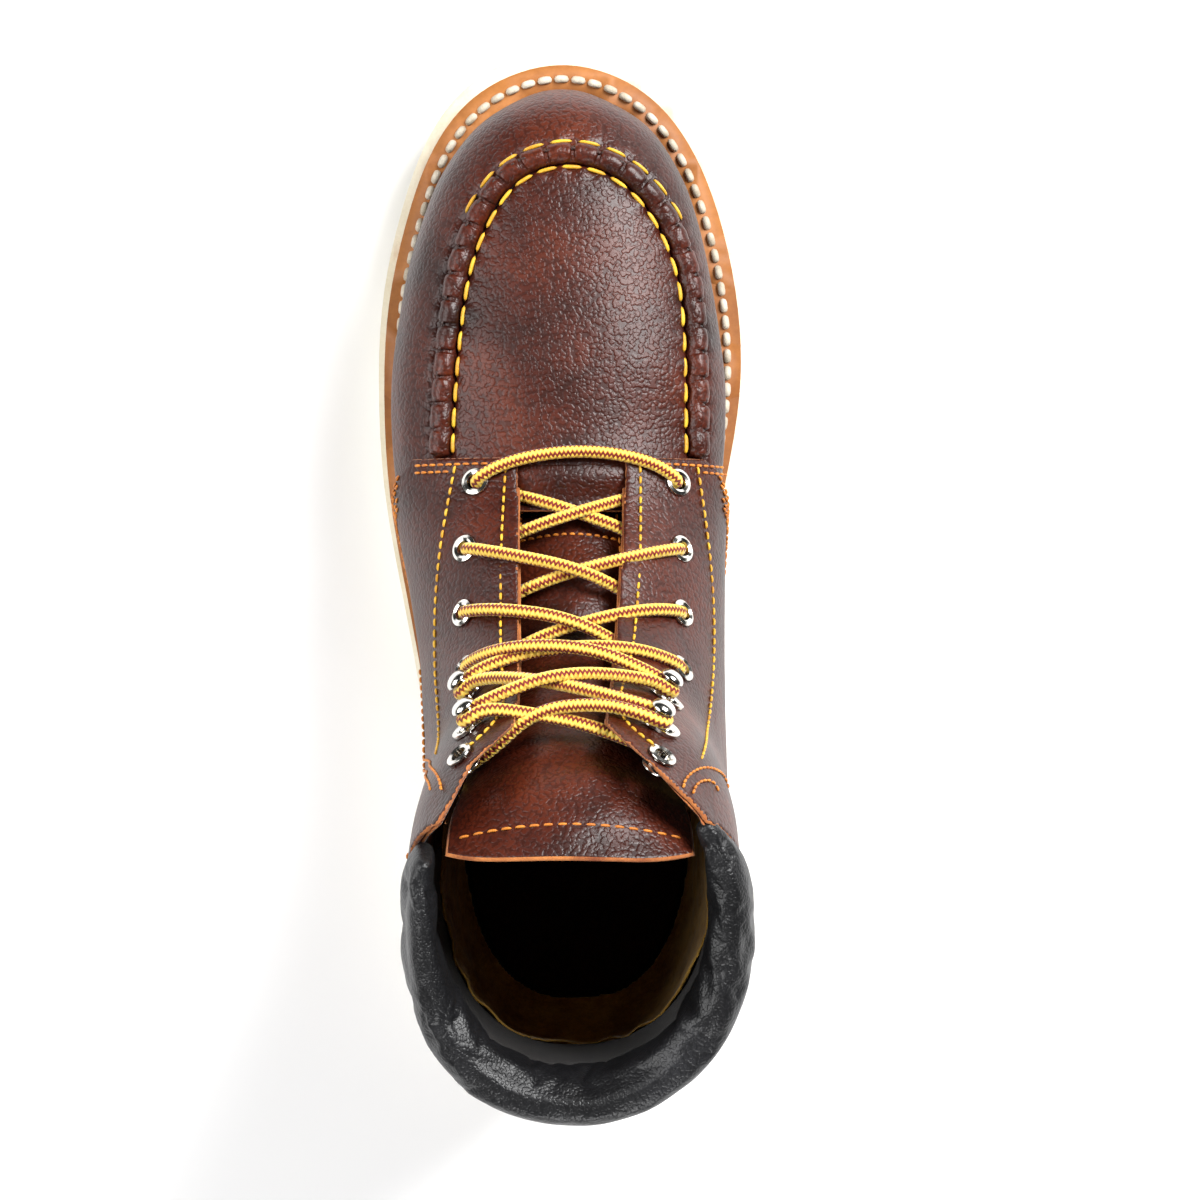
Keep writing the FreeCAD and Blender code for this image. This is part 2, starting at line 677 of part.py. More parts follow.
def tongue_section(i):
    """The tongue's cross-section at one place of its centre line: a thin arched strip."""
    y, z, half, drop = TONGUE[i]
    half *= GRADE[0]
    here = graded(TONGUE_X, y, z)
    before = graded(TONGUE_X, *TONGUE[max(i - 1, 0)][:2])
    after = graded(TONGUE_X, *TONGUE[min(i + 1, len(TONGUE) - 1)][:2])
    along = after - before
    along.normalize()
    outward = Vector(1, 0, 0).cross(along)
    if outward.z < 0:
        outward = outward * -1
    thick = outward * -size("tongue_thick")

    def arc(offset):
        ends = [here + offset + Vector(s * half, 0, 0) - outward * drop for s in (-1, 1)]
        return ends, Part.Arc(ends[0], here + offset, ends[1]).toShape()

    outer_ends, outer = arc(Vector(0, 0, 0))
    inner_ends, inner = arc(thick)
    left = Part.LineSegment(outer_ends[0], inner_ends[0]).toShape()
    right = Part.LineSegment(outer_ends[1], inner_ends[1]).toShape()
    return Part.Wire([outer, right, inner, left])


def make_tongue():
    sections = [tongue_section(i) for i in range(len(TONGUE))]
    node("tongue", Part.makeLoft(sections, True, False))


# ---------------------------------------------------------------- eyelets and hooks

EYELETS = [
    (-24.4, 18.5), (-27.0, -1.9), (-27.2, -21.4), (-26.2, -38.0), (-25.7, -61.7),
    (33.9, 18.5), (34.7, -1.9), (34.8, -21.4), (34.5, -38.0), (27.9, -61.7),
]  # fmt: skip
HOOKS = [(-25.5, -47.4), (-24.3, -55.1), (30.5, -47.4), (28.9, -55.1)]


def lacing_places(points):
    """Where each fitting sits: a point of the quarter's outside and the direction out of it."""
    places = []
    for x, y in points:
        place, turn = on_form(x * GRADE[0], y * GRADE[1])
        centre = form_point(place, turn, QUARTER_OUT)
        places.append((centre, form_normal(place, turn)))
    return places


def eyelet_places():
    return lacing_places(EYELETS)


def hook_places():
    return lacing_places(HOOKS)


def turned_body(name, corners):
    """A body of revolution about its own Z axis, from the corners (radius, height)."""
    body = doc.addObject("PartDesign::Body", name)
    plane = [f for f in body.Origin.OriginFeatures if f.Role == "XZ_Plane"][0]
    sketch = body.newObject("Sketcher::SketchObject", name + "_outline")
    sketch.AttachmentSupport = [(plane, "")]
    sketch.MapMode = "FlatFace"
    points = [Vector(r, z, 0) for r, z in corners]
    for a, b in zip(points, points[1:] + points[:1]):
        sketch.addGeometry(Part.LineSegment(a, b), False)
    turn = body.newObject("PartDesign::Revolution", name + "_turn")
    turn.Profile = sketch
    turn.ReferenceAxis = (sketch, ["V_Axis"])
    turn.Angle = 360.0
    body.Tip = turn
    doc.recompute()
    return body


def placed(shape, centre, normal, side=None):
    """A copy of a shape drawn about +Z at the origin, stood on a point of the upper. side is the
    direction that its +X is turned to, as nearly as it can be."""
    x_axis = side if side is not None else Vector(1, 0, 0)
    x_axis = x_axis - normal * x_axis.dot(normal)
    x_axis.normalize()
    y_axis = normal.cross(x_axis)
    matrix = FreeCAD.Matrix(
        x_axis.x, y_axis.x, normal.x, centre.x,
        x_axis.y, y_axis.y, normal.y, centre.y,
        x_axis.z, y_axis.z, normal.z, centre.z,
        0, 0, 0, 1,
    )  # fmt: skip
    copy = shape.copy()
    copy.Placement = FreeCAD.Placement(matrix)
    return copy


def make_eyelets():
    bore = size("eyelet_bore") / 2
    barrel = bore + size("eyelet_wall")
    flange = size("eyelet_flange") / 2
    lift = 0.25
    depth = FACING_IN - QUARTER_OUT
    corners = [
        (bore, -depth - 0.8), (barrel + 1.0, -depth - 0.8), (barrel + 1.0, -depth - 0.3),
        (barrel, -depth - 0.3), (barrel, lift), (flange, lift), (flange - 0.3, lift + 0.5),
        (flange - 1.2, lift + 0.9), (bore, lift + 0.5),
    ]  # fmt: skip
    master = turned_body("eyelet", corners)
    copies = [placed(master.Shape, centre, normal) for centre, normal in eyelet_places()]
    node("eyelets", Part.makeCompound(copies))


HOOK_REACH = 6.4
HOOK_HEAD_HEIGHT = 7.2


def hook_shape():
    """A hook drawn at the origin: an oval base plate, a neck that leaves its inner end and a
    domed head. +X points to the lacing gap."""
    half = size("hook_plate") / 2
    plate = Part.makeCylinder(half, 0.9, Vector(0, 0, 0.25))
    tail = Part.makeCylinder(half * 0.62, 0.9, Vector(HOOK_REACH - 2.2, 0, 0.25))
    bridge = Part.makeBox(HOOK_REACH - 2.2, half * 1.24, 0.9, Vector(0, -half * 0.62, 0.25))
    hole = Part.makeCylinder(1.7, 3, Vector(0, 0, -0.5))
    neck = Part.makeCylinder(1.15, HOOK_HEAD_HEIGHT - 0.6, Vector(HOOK_REACH - 2.2, 0, 0.4))
    radius = size("hook_head") / 2
    head = Part.makeSphere(radius, Vector(0, 0, 0), Vector(0, 0, 1), 0, 90, 360)
    squash = FreeCAD.Matrix()
    squash.scale(1.0, 1.0, 0.62)
    head = head.transformGeometry(squash)
    head.translate(Vector(HOOK_REACH - 2.9, 0, HOOK_HEAD_HEIGHT - 1.2))
    whole = plate.fuse([tail, bridge, neck, head])
    return whole.cut(hole).removeSplitter()


def make_hooks():
    shape = hook_shape()
    barrel = size("eyelet_bore") / 2
    depth = FACING_IN - QUARTER_OUT
    corners = [
        (0, -depth - 0.9), (barrel + 0.6, -depth - 0.9), (barrel + 0.6, -depth - 0.3),
        (1.6, -depth - 0.3), (1.6, 1.25), (2.6, 1.25), (2.2, 1.8), (0, 2.0),
    ]  # fmt: skip
    rivet = turned_body("hook_rivet", corners)
    hooks, rivets = [], []
    for centre, normal in hook_places():
        inward = Vector(MIDDLE_X - centre.x, 0, 0)
        hooks.append(placed(shape, centre, normal, inward))
        rivets.append(placed(rivet.Shape, centre, normal))
    node("speed_hooks", Part.makeCompound(hooks))
    node("hook_rivets", Part.makeCompound(rivets))


# ---------------------------------------------------------------- the lace

# the lace's route from one hidden end, up through the hooks and eyelets of one strand, over the
# bar at the throat and back up the other strand to the other hidden end
LACE = [
    (-31.9, -71.1, 101.8), (-31.5, -71.1, 118.2), (-29.9, -68.3, 136.9), (-25.5, -63.8, 149.1),
    (-18.8, -59.1, 155.5), (-5.9, -47.4, 157.3), (11.6, -45.6, 159.3), (23.4, -48.2, 165.2),
    (30.5, -51.6, 163.6), (30.5, -48.9, 158.0), (23.4, -45.6, 159.6), (-4.1, -39.2, 146.5),
    (-23.6, -38.8, 126.8), (-28.7, -44.6, 124.5), (-28.7, -42.3, 118.7), (-23.6, -36.5, 121.0),
    (-5.0, -30.7, 125.2), (20.0, -29.8, 121.1), (37.6, -36.0, 108.4), (31.7, -39.6, 104.9),
    (19.1, -30.3, 108.8), (3.0, -21.9, 112.8), (-16.8, -19.3, 107.4), (-30.2, -20.1, 96.1),
    (-24.6, -22.3, 91.3), (-12.2, -14.3, 96.8), (2.9, -8.5, 98.5), (23.7, -3.4, 96.8),
    (37.6, -1.0, 85.4), (32.4, -3.3, 80.2), (20.3, 4.0, 84.9), (7.0, 8.8, 84.4),
    (-6.7, 13.2, 82.7), (-23.5, 16.8, 76.4), (-26.2, 19.2, 83.2), (-14.1, 25.4, 84.6),
    (6.7, 28.3, 84.2), (26.1, 25.4, 81.2), (36.5, 19.1, 77.6), (32.3, 17.1, 71.4),
    (17.0, 12.9, 80.9), (3.2, 8.8, 88.3), (-11.4, 3.8, 87.4), (-25.1, -3.1, 84.0),
    (-29.5, -1.0, 89.9), (-14.7, -3.3, 99.1), (5.4, -7.4, 102.1), (19.9, -14.5, 95.8),
    (32.2, -22.8, 90.2), (37.9, -20.0, 94.7), (24.5, -19.3, 106.7), (4.0, -23.9, 109.4),
    (-11.4, -30.1, 108.6), (-23.3, -39.3, 104.3), (-29.3, -36.1, 108.0), (-15.7, -29.9, 125.0),
    (8.4, -29.9, 132.7), (26.2, -37.3, 134.4), (32.8, -41.9, 133.1), (32.8, -43.5, 139.1),
    (26.2, -38.9, 140.3), (1.1, -36.7, 151.0), (-20.3, -44.7, 152.0), (-26.7, -49.3, 150.3),
    (-26.7, -51.5, 156.1), (-20.3, -46.9, 157.8), (-9.1, -48.4, 156.6), (6.6, -51.0, 157.2),
    (26.9, -58.5, 155.7), (34.5, -63.3, 149.3), (39.2, -67.7, 137.1), (41.2, -71.1, 118.2),
    (41.7, -71.1, 101.8),
]  # fmt: skip
# how much of the shorter run each bend of a cord takes up
BEND_SHARE = 0.45
AGLET_LENGTH = 16.0


def cord_path(points):
    """Straight runs joined by tangent arcs."""
    edges = []
    start = points[0]
    radii = []
    for before, corner, after in zip(points, points[1:], points[2:]):
        arrive = corner - before
        leave = after - corner
        cut = BEND_SHARE * min(arrive.Length, leave.Length)
        half_turn = arrive.getAngle(leave) / 2
        radii.append(cut / math.tan(half_turn))
        arrive.normalize()
        leave.normalize()
        first = corner - arrive * cut
        last = corner + leave * cut
        inward = (leave - arrive).normalize()
        sagitta = radii[-1] * (1 / math.cos(half_turn) - 1)
        middle = corner + inward * sagitta
        edges.append(Part.LineSegment(start, first).toShape())
        edges.append(Part.Arc(first, middle, last).toShape())
        start = last
    edges.append(Part.LineSegment(start, points[-1]).toShape())
    return Part.Wire(edges), radii


def make_lace():
    points = [Vector(*p) for p in LACE]
    path, radii = cord_path(points)
    radius = size("lace_diameter") / 2
    ring_wire = Part.Wire(Part.makeCircle(radius, points[0], points[1] - points[0]))
    lace = path.makePipeShell([ring_wire], True, False)
    expected = math.pi * radius**2 * path.Length
    print(f"lace length {path.Length:.1f}, volume {lace.Volume:.0f} of {expected:.0f}")
    print("lace radii " + " ".join(f"{r:.1f}" for r in radii))
    node("lace", lace)
    aglets = []
    for end, inner in ((points[0], points[1]), (points[-1], points[-2])):
        aglets.append(Part.makeCylinder(radius, AGLET_LENGTH, end, end - inner))
    node("lace_aglets", Part.makeCompound(aglets))


# ---------------------------------------------------------------- stitching


def stitch_shape(a, b, radius):
    """One stitch from a to b: a short round-ended thread, drawn as a slim octagonal prism."""
    along = b - a
    wire = Part.Wire(Part.makeCircle(radius, a, along))
    return Part.Face(wire).extrude(along)


def stitches(points, radius, fill=0.72):
    """A stitch in each span of a row of points, each a share of its span long."""
    shapes = []
    for a, b in zip(points, points[1:]):
        rest = (b - a) * ((1 - fill) / 2)
        shapes.append(stitch_shape(a + rest, b - rest, radius))
    return shapes


def even_points(curve, pitch):
    """Points along a curve, as near to the pitch as comes out even."""
    edge = curve.toShape()
    count = max(2, int(round(edge.Length / pitch)) + 1)
    return edge.discretize(Number=count)


# room between a welt stitch's middle line and the upper; nearer stitches are hidden under it
STITCH_ROOM = 1.2


def make_welt_stitching():
    """The lock stitches round the welt, wherever the upper leaves room for them."""
    curve = plan_curve(WELT_EDGE, True)
    points = even_points(curve, 5.3)
    half = 56.0 * GRADE[0]
    reach = WELT_LENGTH / 2 * GRADE[1]
    middle = WELT_MIDDLE * GRADE[1]
    row = []
    for p in points:
        x = p.x * (1 - 4.2 / half)
        y = middle + (p.y - middle) * (1 - 4.2 / reach)
        row.append(Vector(x, y, seat(y) + 0.85))
    upper = form_solid(QUARTER_OUT - STITCH_ROOM)
    thread = stitches(row, 0.8, 0.8)
    clear = [stitch for stitch in thread if not upper.isInside(stitch.CenterOfMass, 0.01, True)]
    node("welt_stitching", Part.makeCompound(clear))


def make_moc_stitching():
    rows = []
    inner = [(x * 0.885 + 0.3, 14 + (y - 14) * 0.955) for x, y in SEAM]
    curve = Part.BSplineCurve()
    curve.interpolate(Points=[over(x, y, -0.75) for x, y in inner])
    rows += stitches(even_points(curve, 7.6), 0.45)
    outer = [(x * 1.12 - 0.3, 14 + (y - 14) * 1.045) for x, y in SEAM[4:9]]
    curve = Part.BSplineCurve()
    curve.interpolate(Points=[over(x, y, -0.75) for x, y in outer])
    rows += stitches(even_points(curve, 6.4), 0.45)
    node("moc_stitching", Part.makeCompound(rows))


EDGE_ROW_OUTER = [(-15.6, 23), (-16.4, 0), (-16.2, -22), (-15.4, -38), (-15, -50), (-26.5, -61.5)]
EDGE_ROW_INNER = [(22.9, 23), (22.8, 0), (21.6, -22), (19.2, -38), (17, -50), (28, -60.5)]
LONG_ROW_OUTER = [(-30.2, 23), (-34, 0), (-35.5, -22), (-35, -40), (-33.5, -54), (-33, -64)]
LONG_ROW_INNER = [(39.5, 23), (42.6, 0), (44, -22), (43.4, -40), (41.5, -54), (38.5, -64)]


def make_quarter_stitching():
    rows = []
    for line in (EDGE_ROW_OUTER, EDGE_ROW_INNER, LONG_ROW_OUTER, LONG_ROW_INNER):
        curve = Part.BSplineCurve()
        curve.interpolate(Points=[over(x, y, QUARTER_OUT - 0.5) for x, y in line])
        rows += stitches(even_points(curve, 3.2), 0.35)
    node("quarter_stitching", Part.makeCompound(rows))


def check_and_write():
    """Stops on any object that failed, then writes every sub-part."""
    doc.recompute()
    for item in doc.Objects:
        if "Invalid" in item.State or "Error" in item.State:
            raise RuntimeError(f"{item.Label}: {item.State}")
    os.makedirs("parts", exist_ok=True)
    for item in NODES:
        shape = item.Shape
        if shape.isNull() or not shape.isValid() or not shape.Solids:
            raise RuntimeError(f"{item.Label}: not a valid solid")
        shape.exportStep(f"parts/{item.Label}.step")
        print(f"{item.Label:20s} solids {len(shape.Solids):3d} volume {shape.Volume:10.1f}")


def main():
    make_bottom()
    make_forefoot()
    collar = make_collar()
    make_quarters(collar)
    make_pull_tab(collar)
    make_tongue()
    make_eyelets()
    make_hooks()
    make_lace()
    make_welt_stitching()
    make_moc_stitching()
    make_quarter_stitching()
    check_and_write()


main()
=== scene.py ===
"""A laced moc-toe work boot: leather upper, gathered seam, welt, wedge sole and padded collar.

Every surface of the upper is worked out on one closed form, the outside of the lasted boot: a row
of stations, each a closed curve, joined by splines. A layer lies at its own depth inside it."""

import math
import bmesh
import bpy
import numpy as np
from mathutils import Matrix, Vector


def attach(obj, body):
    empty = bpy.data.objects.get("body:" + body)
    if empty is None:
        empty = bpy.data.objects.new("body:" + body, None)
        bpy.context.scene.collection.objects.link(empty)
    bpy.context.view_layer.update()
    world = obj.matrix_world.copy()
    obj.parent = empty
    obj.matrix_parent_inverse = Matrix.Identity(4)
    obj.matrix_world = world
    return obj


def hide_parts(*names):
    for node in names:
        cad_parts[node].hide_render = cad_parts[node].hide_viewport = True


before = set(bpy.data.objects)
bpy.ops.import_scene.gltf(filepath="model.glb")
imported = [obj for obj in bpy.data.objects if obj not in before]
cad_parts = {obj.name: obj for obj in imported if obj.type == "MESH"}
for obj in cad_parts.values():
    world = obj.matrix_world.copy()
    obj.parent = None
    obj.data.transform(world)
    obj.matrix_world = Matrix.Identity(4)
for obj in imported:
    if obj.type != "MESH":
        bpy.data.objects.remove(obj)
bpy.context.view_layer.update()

bl_info = {
    "name": "Moc-toe work boot",
    "version": (1, 0, 0),
    "blender": (4, 5, 0),
    "location": "View3D > Sidebar > Boot",
    "description": "Builds the leather, stitching, lace and fittings of a laced work boot",
    "category": "Add Mesh",
}

MM = 0.001

# ---------------------------------------------------------------- the form

# top y, top z, base y, base z, outer half breadth, inner half breadth, middle x,
# fraction of the widest place from the top, crown power, base power, lean to the toe (mm)
STATIONS = np.array([
    (139.4, 49.5, 139.4, 34.5, 9.5, 9.8, 0.0, 0.55, 2.1, 2.4, 0.97),
    (135.4, 57.0, 135.4, 27.5, 17.8, 18.2, 0.0, 0.56, 2.1, 3.2, 0.88),
    (128.2, 64.0, 128.2, 25.8, 27.2, 27.8, 0.0, 0.57, 2.1, 4.5, 0.68),
    (116.6, 69.2, 116.6, 24.6, 35.6, 35.6, 0.0, 0.56, 2.1, 5.6, 0.42),
    (98.0, 73.2, 98.0, 23.4, 43.6, 42.6, 0.0, 0.56, 2.1, 6.4, 0.2),
    (73.0, 76.4, 73.0, 23.0, 49.4, 47.6, 0.0, 0.56, 2.1, 6.6, 0.06),
    (46.0, 79.0, 46.0, 23.0, 52.4, 50.6, 0.0, 0.57, 2.05, 6.4, 0.0),
    (22.0, 82.6, 22.0, 23.0, 51.4, 49.4, 0.3, 0.58, 2.0, 5.6, 0.0),
    (3.0, 93.5, -8.0, 23.8, 47.8, 47.0, 1.4, 0.6, 2.0, 4.8, 0.0),
    (-13.5, 104.0, -48.0, 26.8, 43.8, 45.2, 2.6, 0.57, 2.0, 4.2, 0.0),
    (-26.0, 114.0, -92.0, 30.2, 42.4, 44.4, 3.4, 0.5, 2.1, 4.0, 0.0),
    (-33.5, 123.0, -127.0, 31.5, 42.4, 44.0, 4.0, 0.46, 2.2, 3.2, 0.0),
    (-38.0, 131.5, -149.0, 45.0, 42.8, 44.2, 4.2, 0.44, 2.3, 2.5, 0.0),
    (-43.0, 143.0, -153.5, 80.0, 43.4, 44.6, 4.3, 0.44, 2.45, 2.25, 0.0),
    (-48.5, 155.5, -152.5, 118.0, 44.2, 45.0, 4.4, 0.45, 2.5, 2.2, 0.0),
    (-53.0, 167.0, -155.5, 148.0, 44.8, 45.4, 4.4, 0.46, 2.25, 2.2, 0.0),
    (-57.0, 180.0, -159.0, 170.0, 45.2, 45.8, 4.4, 0.47, 1.8, 2.2, 0.0),
])
# depth of the quarters' grain side inside the form; negative lies outside it
QUARTER_OUT = -2.12
# a face shows the raw colour when it looks less than this much out of the form
RAW_SHOWS = 0.62
# the collar: frames and reach of its padding, how far its cover stands out and its foam lies in
PUFF_FRAMES, PUFF_REACH = 12, 2.0
COLLAR_OVER = 0.5
FOAM_IN = 1.3
# height of the welt's top under the forefoot and the heel, and the toe's lift
SEAT_FORE, SEAT_HEEL, TOE_SPRING = 25.0, 33.0, 5.0
# the gathered seam's centre line in plan, from the outer side round the toe
SEAM = [
    (-36.4, 26.6), (-35.7, 44), (-32.8, 74), (-27.8, 93.4), (-18.6, 109.2), (-8.4, 116.2),
    (2.4, 118.4), (13.1, 116.4), (23.0, 110.6), (32.0, 99.6), (38.0, 86), (40.8, 70),
    (41.7, 44), (41.8, 26.6),
]
WELT_EDGE = [
    (4, -153), (-14, -149.5), (-28.5, -137), (-34.5, -116), (-37.5, -88), (-42, -52),
    (-48.5, -16), (-54, 16), (-55.8, 46), (-54.2, 77), (-48.8, 102), (-40.6, 124),
    (-28.6, 139.6), (-14.2, 147.8), (0, 150.4), (14.2, 147.9), (28.6, 139.6), (40.9, 124),
    (49.7, 102), (54.9, 77), (56, 52), (53.2, 30), (48.4, 4), (46, -28), (45.2, -62),
    (44.4, -94), (42.4, -118), (36.5, -137), (22, -149.5),
]


def spline_bend(values):
    """Second differences of the natural cubic spline through equally spaced values."""
    count = len(values)
    rows = np.eye(count)
    load = np.zeros_like(values)
    for i in range(1, count - 1):
        rows[i, i - 1 : i + 2] = (1, 4, 1)
        load[i] = 6 * (values[i + 1] - 2 * values[i] + values[i - 1])
    return np.linalg.solve(rows, load)


def spline_at(values, bend, place):
    """The natural cubic spline at each place, which counts the values."""
    i = np.clip(np.floor(place).astype(int), 0, len(values) - 2)
    b = (place - i)[..., None]
    a = 1 - b
    curve = ((a**3 - a) * bend[i] + (b**3 - b) * bend[i + 1]) / 6
    return a * values[i] + b * values[i + 1] + curve


STATION_BEND = spline_bend(STATIONS)


def smooth(t):
    """0 below 0, 1 above 1, with level ends."""
    t = np.clip(t, 0.0, 1.0)
    return t * t * (3 - 2 * t)


def form(place, turn, depth=0.0):
    """Points of the form in mm. Across a station, x is the half breadth times |cos turn| to the
    power 2/n, and the run down the station goes with |sin turn| to the same power."""
    place, turn, depth = np.broadcast_arrays(*(np.asarray(v, float) for v in (place, turn, depth)))
    (top_y, top_z, base_y, base_z, outer, inner, middle, widest, crown, base, lean) = np.moveaxis(
        spline_at(STATIONS, STATION_BEND, place), -1, 0
    )
    down_y, down_z = base_y - top_y, base_z - top_z
    length = np.hypot(down_y, down_z)
    down_y, down_z = down_y / length, down_z / length
    inward = depth * np.sqrt(np.clip(1 - lean**2, 0, 1))
    share = np.where(depth > 0, 0.25 + 0.75 * smooth((place - 10) / 2), 1.0)
    above = length * widest - inward
    below = length * (1 - widest) - inward * share
    c, s = np.cos(np.radians(turn)), np.sin(np.radians(turn))
    half = np.where(c >= 0, inner, outer) - inward
    power = np.where(s >= 0, crown, base)
    across = np.sign(c) * np.abs(c) ** (2 / power) * half
    rise = np.abs(s) ** (2 / power)
    along = length * widest + np.where(s >= 0, -above, below) * rise
    return np.stack(
        (across + middle, top_y + down_y * along - depth * lean, top_z + down_z * along), -1
    )


def unit(v):
    """Vectors made one long."""
    return v / np.maximum(np.linalg.norm(v, axis=-1, keepdims=True), 1e-12)


def form_normal(place, turn):
    """Outward unit normals of the form."""
    e = 0.02
    a = form(place + e, turn) - form(place - e, turn)
    b = form(place, turn + 0.4) - form(place, turn - 0.4)
    n = unit(np.cross(a, b))
    outward = form(place, turn) - form(place, turn, 1.0)
    return n * np.sign((n * outward).sum(-1, keepdims=True))


def on_form(u, v, depth=0.0, axes=(0, 1), start=90.0):
    """Place and turn of the form's surface above plan points, or at points of another view whose
    axes are given, by Newton's method from a starting turn."""
    u, v = np.broadcast_arrays(np.asarray(u, float), np.asarray(v, float))
    first, second = axes
    place, turn = np.full(u.shape, 8.0), np.full(u.shape, start)
    low, high = (3.0, 177.0) if start == 90.0 else (start - 80, start + 80)
    e = 1e-4
    for _ in range(60):
        p = form(place, turn, depth)
        by_place = (form(place + e, turn, depth) - p) / e
        by_turn = (form(place, turn + e, depth) - p) / e
        eu, ev = u - p[..., first], v - p[..., second]
        det = by_place[..., first] * by_turn[..., second]
        det = det - by_turn[..., first] * by_place[..., second]
        det = np.where(np.abs(det) < 1e-9, 1e-9, det)
        dp = (eu * by_turn[..., second] - by_turn[..., first] * ev) / det
        dt = (by_place[..., first] * ev - eu * by_place[..., second]) / det
        place = np.clip(place + np.clip(dp, -1, 1), 0.1, 15.99)
        turn = np.clip(turn + np.clip(dt, -15, 15), low, high)
    return place, turn


def over(x, y, depth=0.0):
    """Points of the form above plan points."""
    place, turn = on_form(x, y, depth)
    return form(place, turn, depth)


def seat(y):
    """Height of the welt's top in mm."""
    rise = SEAT_HEEL - SEAT_FORE
    spring = TOE_SPRING * np.maximum(0, (y - 90) / 60) ** 2
    return SEAT_FORE + rise * smooth((25 - y) / 135) + spring


def curve_through(points, count, closed=False):
    """count points, evenly spaced along the smooth curve through the given ones."""
    p = np.asarray(points, float)
    if closed:
        p = np.concatenate((p[-4:], p, p[:5]))
    bend = spline_bend(p)
    start, end = (4, len(p) - 5) if closed else (0, len(p) - 1)
    fine = spline_at(p, bend, np.linspace(start, end, 4000))
    run = run_along(fine)
    marks = np.linspace(0, run[-1], count, endpoint=not closed)
    return np.stack([np.interp(marks, run, fine[:, k]) for k in range(p.shape[1])], -1)


def run_along(points):
    """How far along a row each of its points lies."""
    return np.concatenate(([0], np.cumsum(np.linalg.norm(np.diff(points, axis=0), axis=1))))


def length_of(points):
    """Length of a row of points."""
    return float(np.linalg.norm(np.diff(points, axis=0), axis=1).sum())


# ---------------------------------------------------------------- meshes


def add_object(name, verts_mm, faces, materials, indices=None, sharp=None):
    """A mesh object from points in mm and faces, smooth but for edges sharper than an angle."""
    mesh = bpy.data.meshes.new(name)
    mesh.from_pydata((np.asarray(verts_mm, float) * MM).tolist(), [], [tuple(f) for f in faces])
    for material in materials:
        mesh.materials.append(material)
    if indices is not None:
        mesh.polygons.foreach_set("material_index", np.asarray(indices, np.int32))
    mesh.shade_smooth()
    if sharp:
        mesh.set_sharp_from_angle(angle=math.radians(sharp))
    mesh.update()
    obj = bpy.data.objects.new(name, mesh)
    bpy.context.scene.collection.objects.link(obj)
    return obj


def grid_faces(rows, columns, close_rows=False, close_columns=False, start=0):
    """Quads of a grid of points laid row by row."""
    r = np.arange(rows if close_rows else rows - 1)
    c = np.arange(columns if close_columns else columns - 1)
    r, c = (a.ravel() for a in np.meshgrid(r, c, indexing="ij"))
    r1, c1 = (r + 1) % rows, (c + 1) % columns
    quads = np.stack((r * columns + c, r * columns + c1, r1 * columns + c1, r1 * columns + c), -1)
    return quads + start


def orient(obj):
    """Faces turned outward on a closed shell."""
    bm = bmesh.new()
    bm.from_mesh(obj.data)
    bmesh.ops.remove_doubles(bm, verts=bm.verts, dist=1e-7)
    bmesh.ops.recalc_face_normals(bm, faces=bm.faces)
    bm.to_mesh(obj.data)
    bm.free()


def panel(name, outer, inner, materials, rim=0.5):
    """A thick sheet between two grids. Its rim is rounded: the outer grid's border is drawn in
    towards the inner grid over a narrow fillet. Faces of the rim take the second material."""
    rows, columns = outer.shape[:2]
    middle = (outer + inner) / 2
    count = rows * columns
    verts = [outer.reshape(-1, 3), inner.reshape(-1, 3)]
    around = ring(np.arange(count).reshape(rows, columns))
    steps = 4
    outer_ring, inner_ring, core = ring(outer), ring(inner), ring(middle)
    away = unit(core - ring_inward(middle))
    rim_rows = []
    for k in range(1, steps):
        t = k / steps
        bulge = math.sin(math.pi * t) * rim
        rim_rows.append(outer_ring * (1 - t) + inner_ring * t + away * bulge)
    verts += rim_rows
    faces = [grid_faces(rows, columns), grid_faces(rows, columns, start=count)[:, ::-1]]
    loops = [around]
    loops += [2 * count + k * len(around) + np.arange(len(around)) for k in range(steps - 1)]
    loops.append(around + count)
    rim_faces = []
    for a, b in zip(loops, loops[1:]):
        rim_faces.append(np.stack((a, b, np.roll(b, -1), np.roll(a, -1)), -1))
    rim_faces = np.concatenate(rim_faces)
    faces.append(rim_faces)
    faces = np.concatenate(faces)
    indices = np.zeros(len(faces), np.int32)
    indices[-len(rim_faces) :] = 1
    obj = add_object(name, np.concatenate(verts), faces, materials, indices)
    orient(obj)
    return obj


def ring(grid):
    """A grid's border, in order round it."""
    return np.concatenate((grid[0, :-1], grid[:-1, -1], grid[-1, :0:-1], grid[:0:-1, 0]))


def ring_inward(grid):
    """The next row in from a grid's border, matched to the border's points."""
    ri = np.clip(np.arange(grid.shape[0]), 1, grid.shape[0] - 2)
    ci = np.clip(np.arange(grid.shape[1]), 1, grid.shape[1] - 2)
    return ring(grid[np.ix_(ri, ci)])


def frames_along(path):
    """Tangents and two crossways directions that turn as little as possible along a path."""
    tangent = unit(np.gradient(path, axis=0))
    side = np.zeros_like(path)
    first = np.cross(tangent[0], (0.0, 0.0, 1.0))
    side[0] = unit(first if np.linalg.norm(first) > 0.1 else np.cross(tangent[0], (1.0, 0, 0)))
    for i in range(1, len(path)):
        side[i] = unit(side[i - 1] - tangent[i] * side[i - 1].dot(tangent[i]))
    return tangent, side, np.cross(tangent, side)


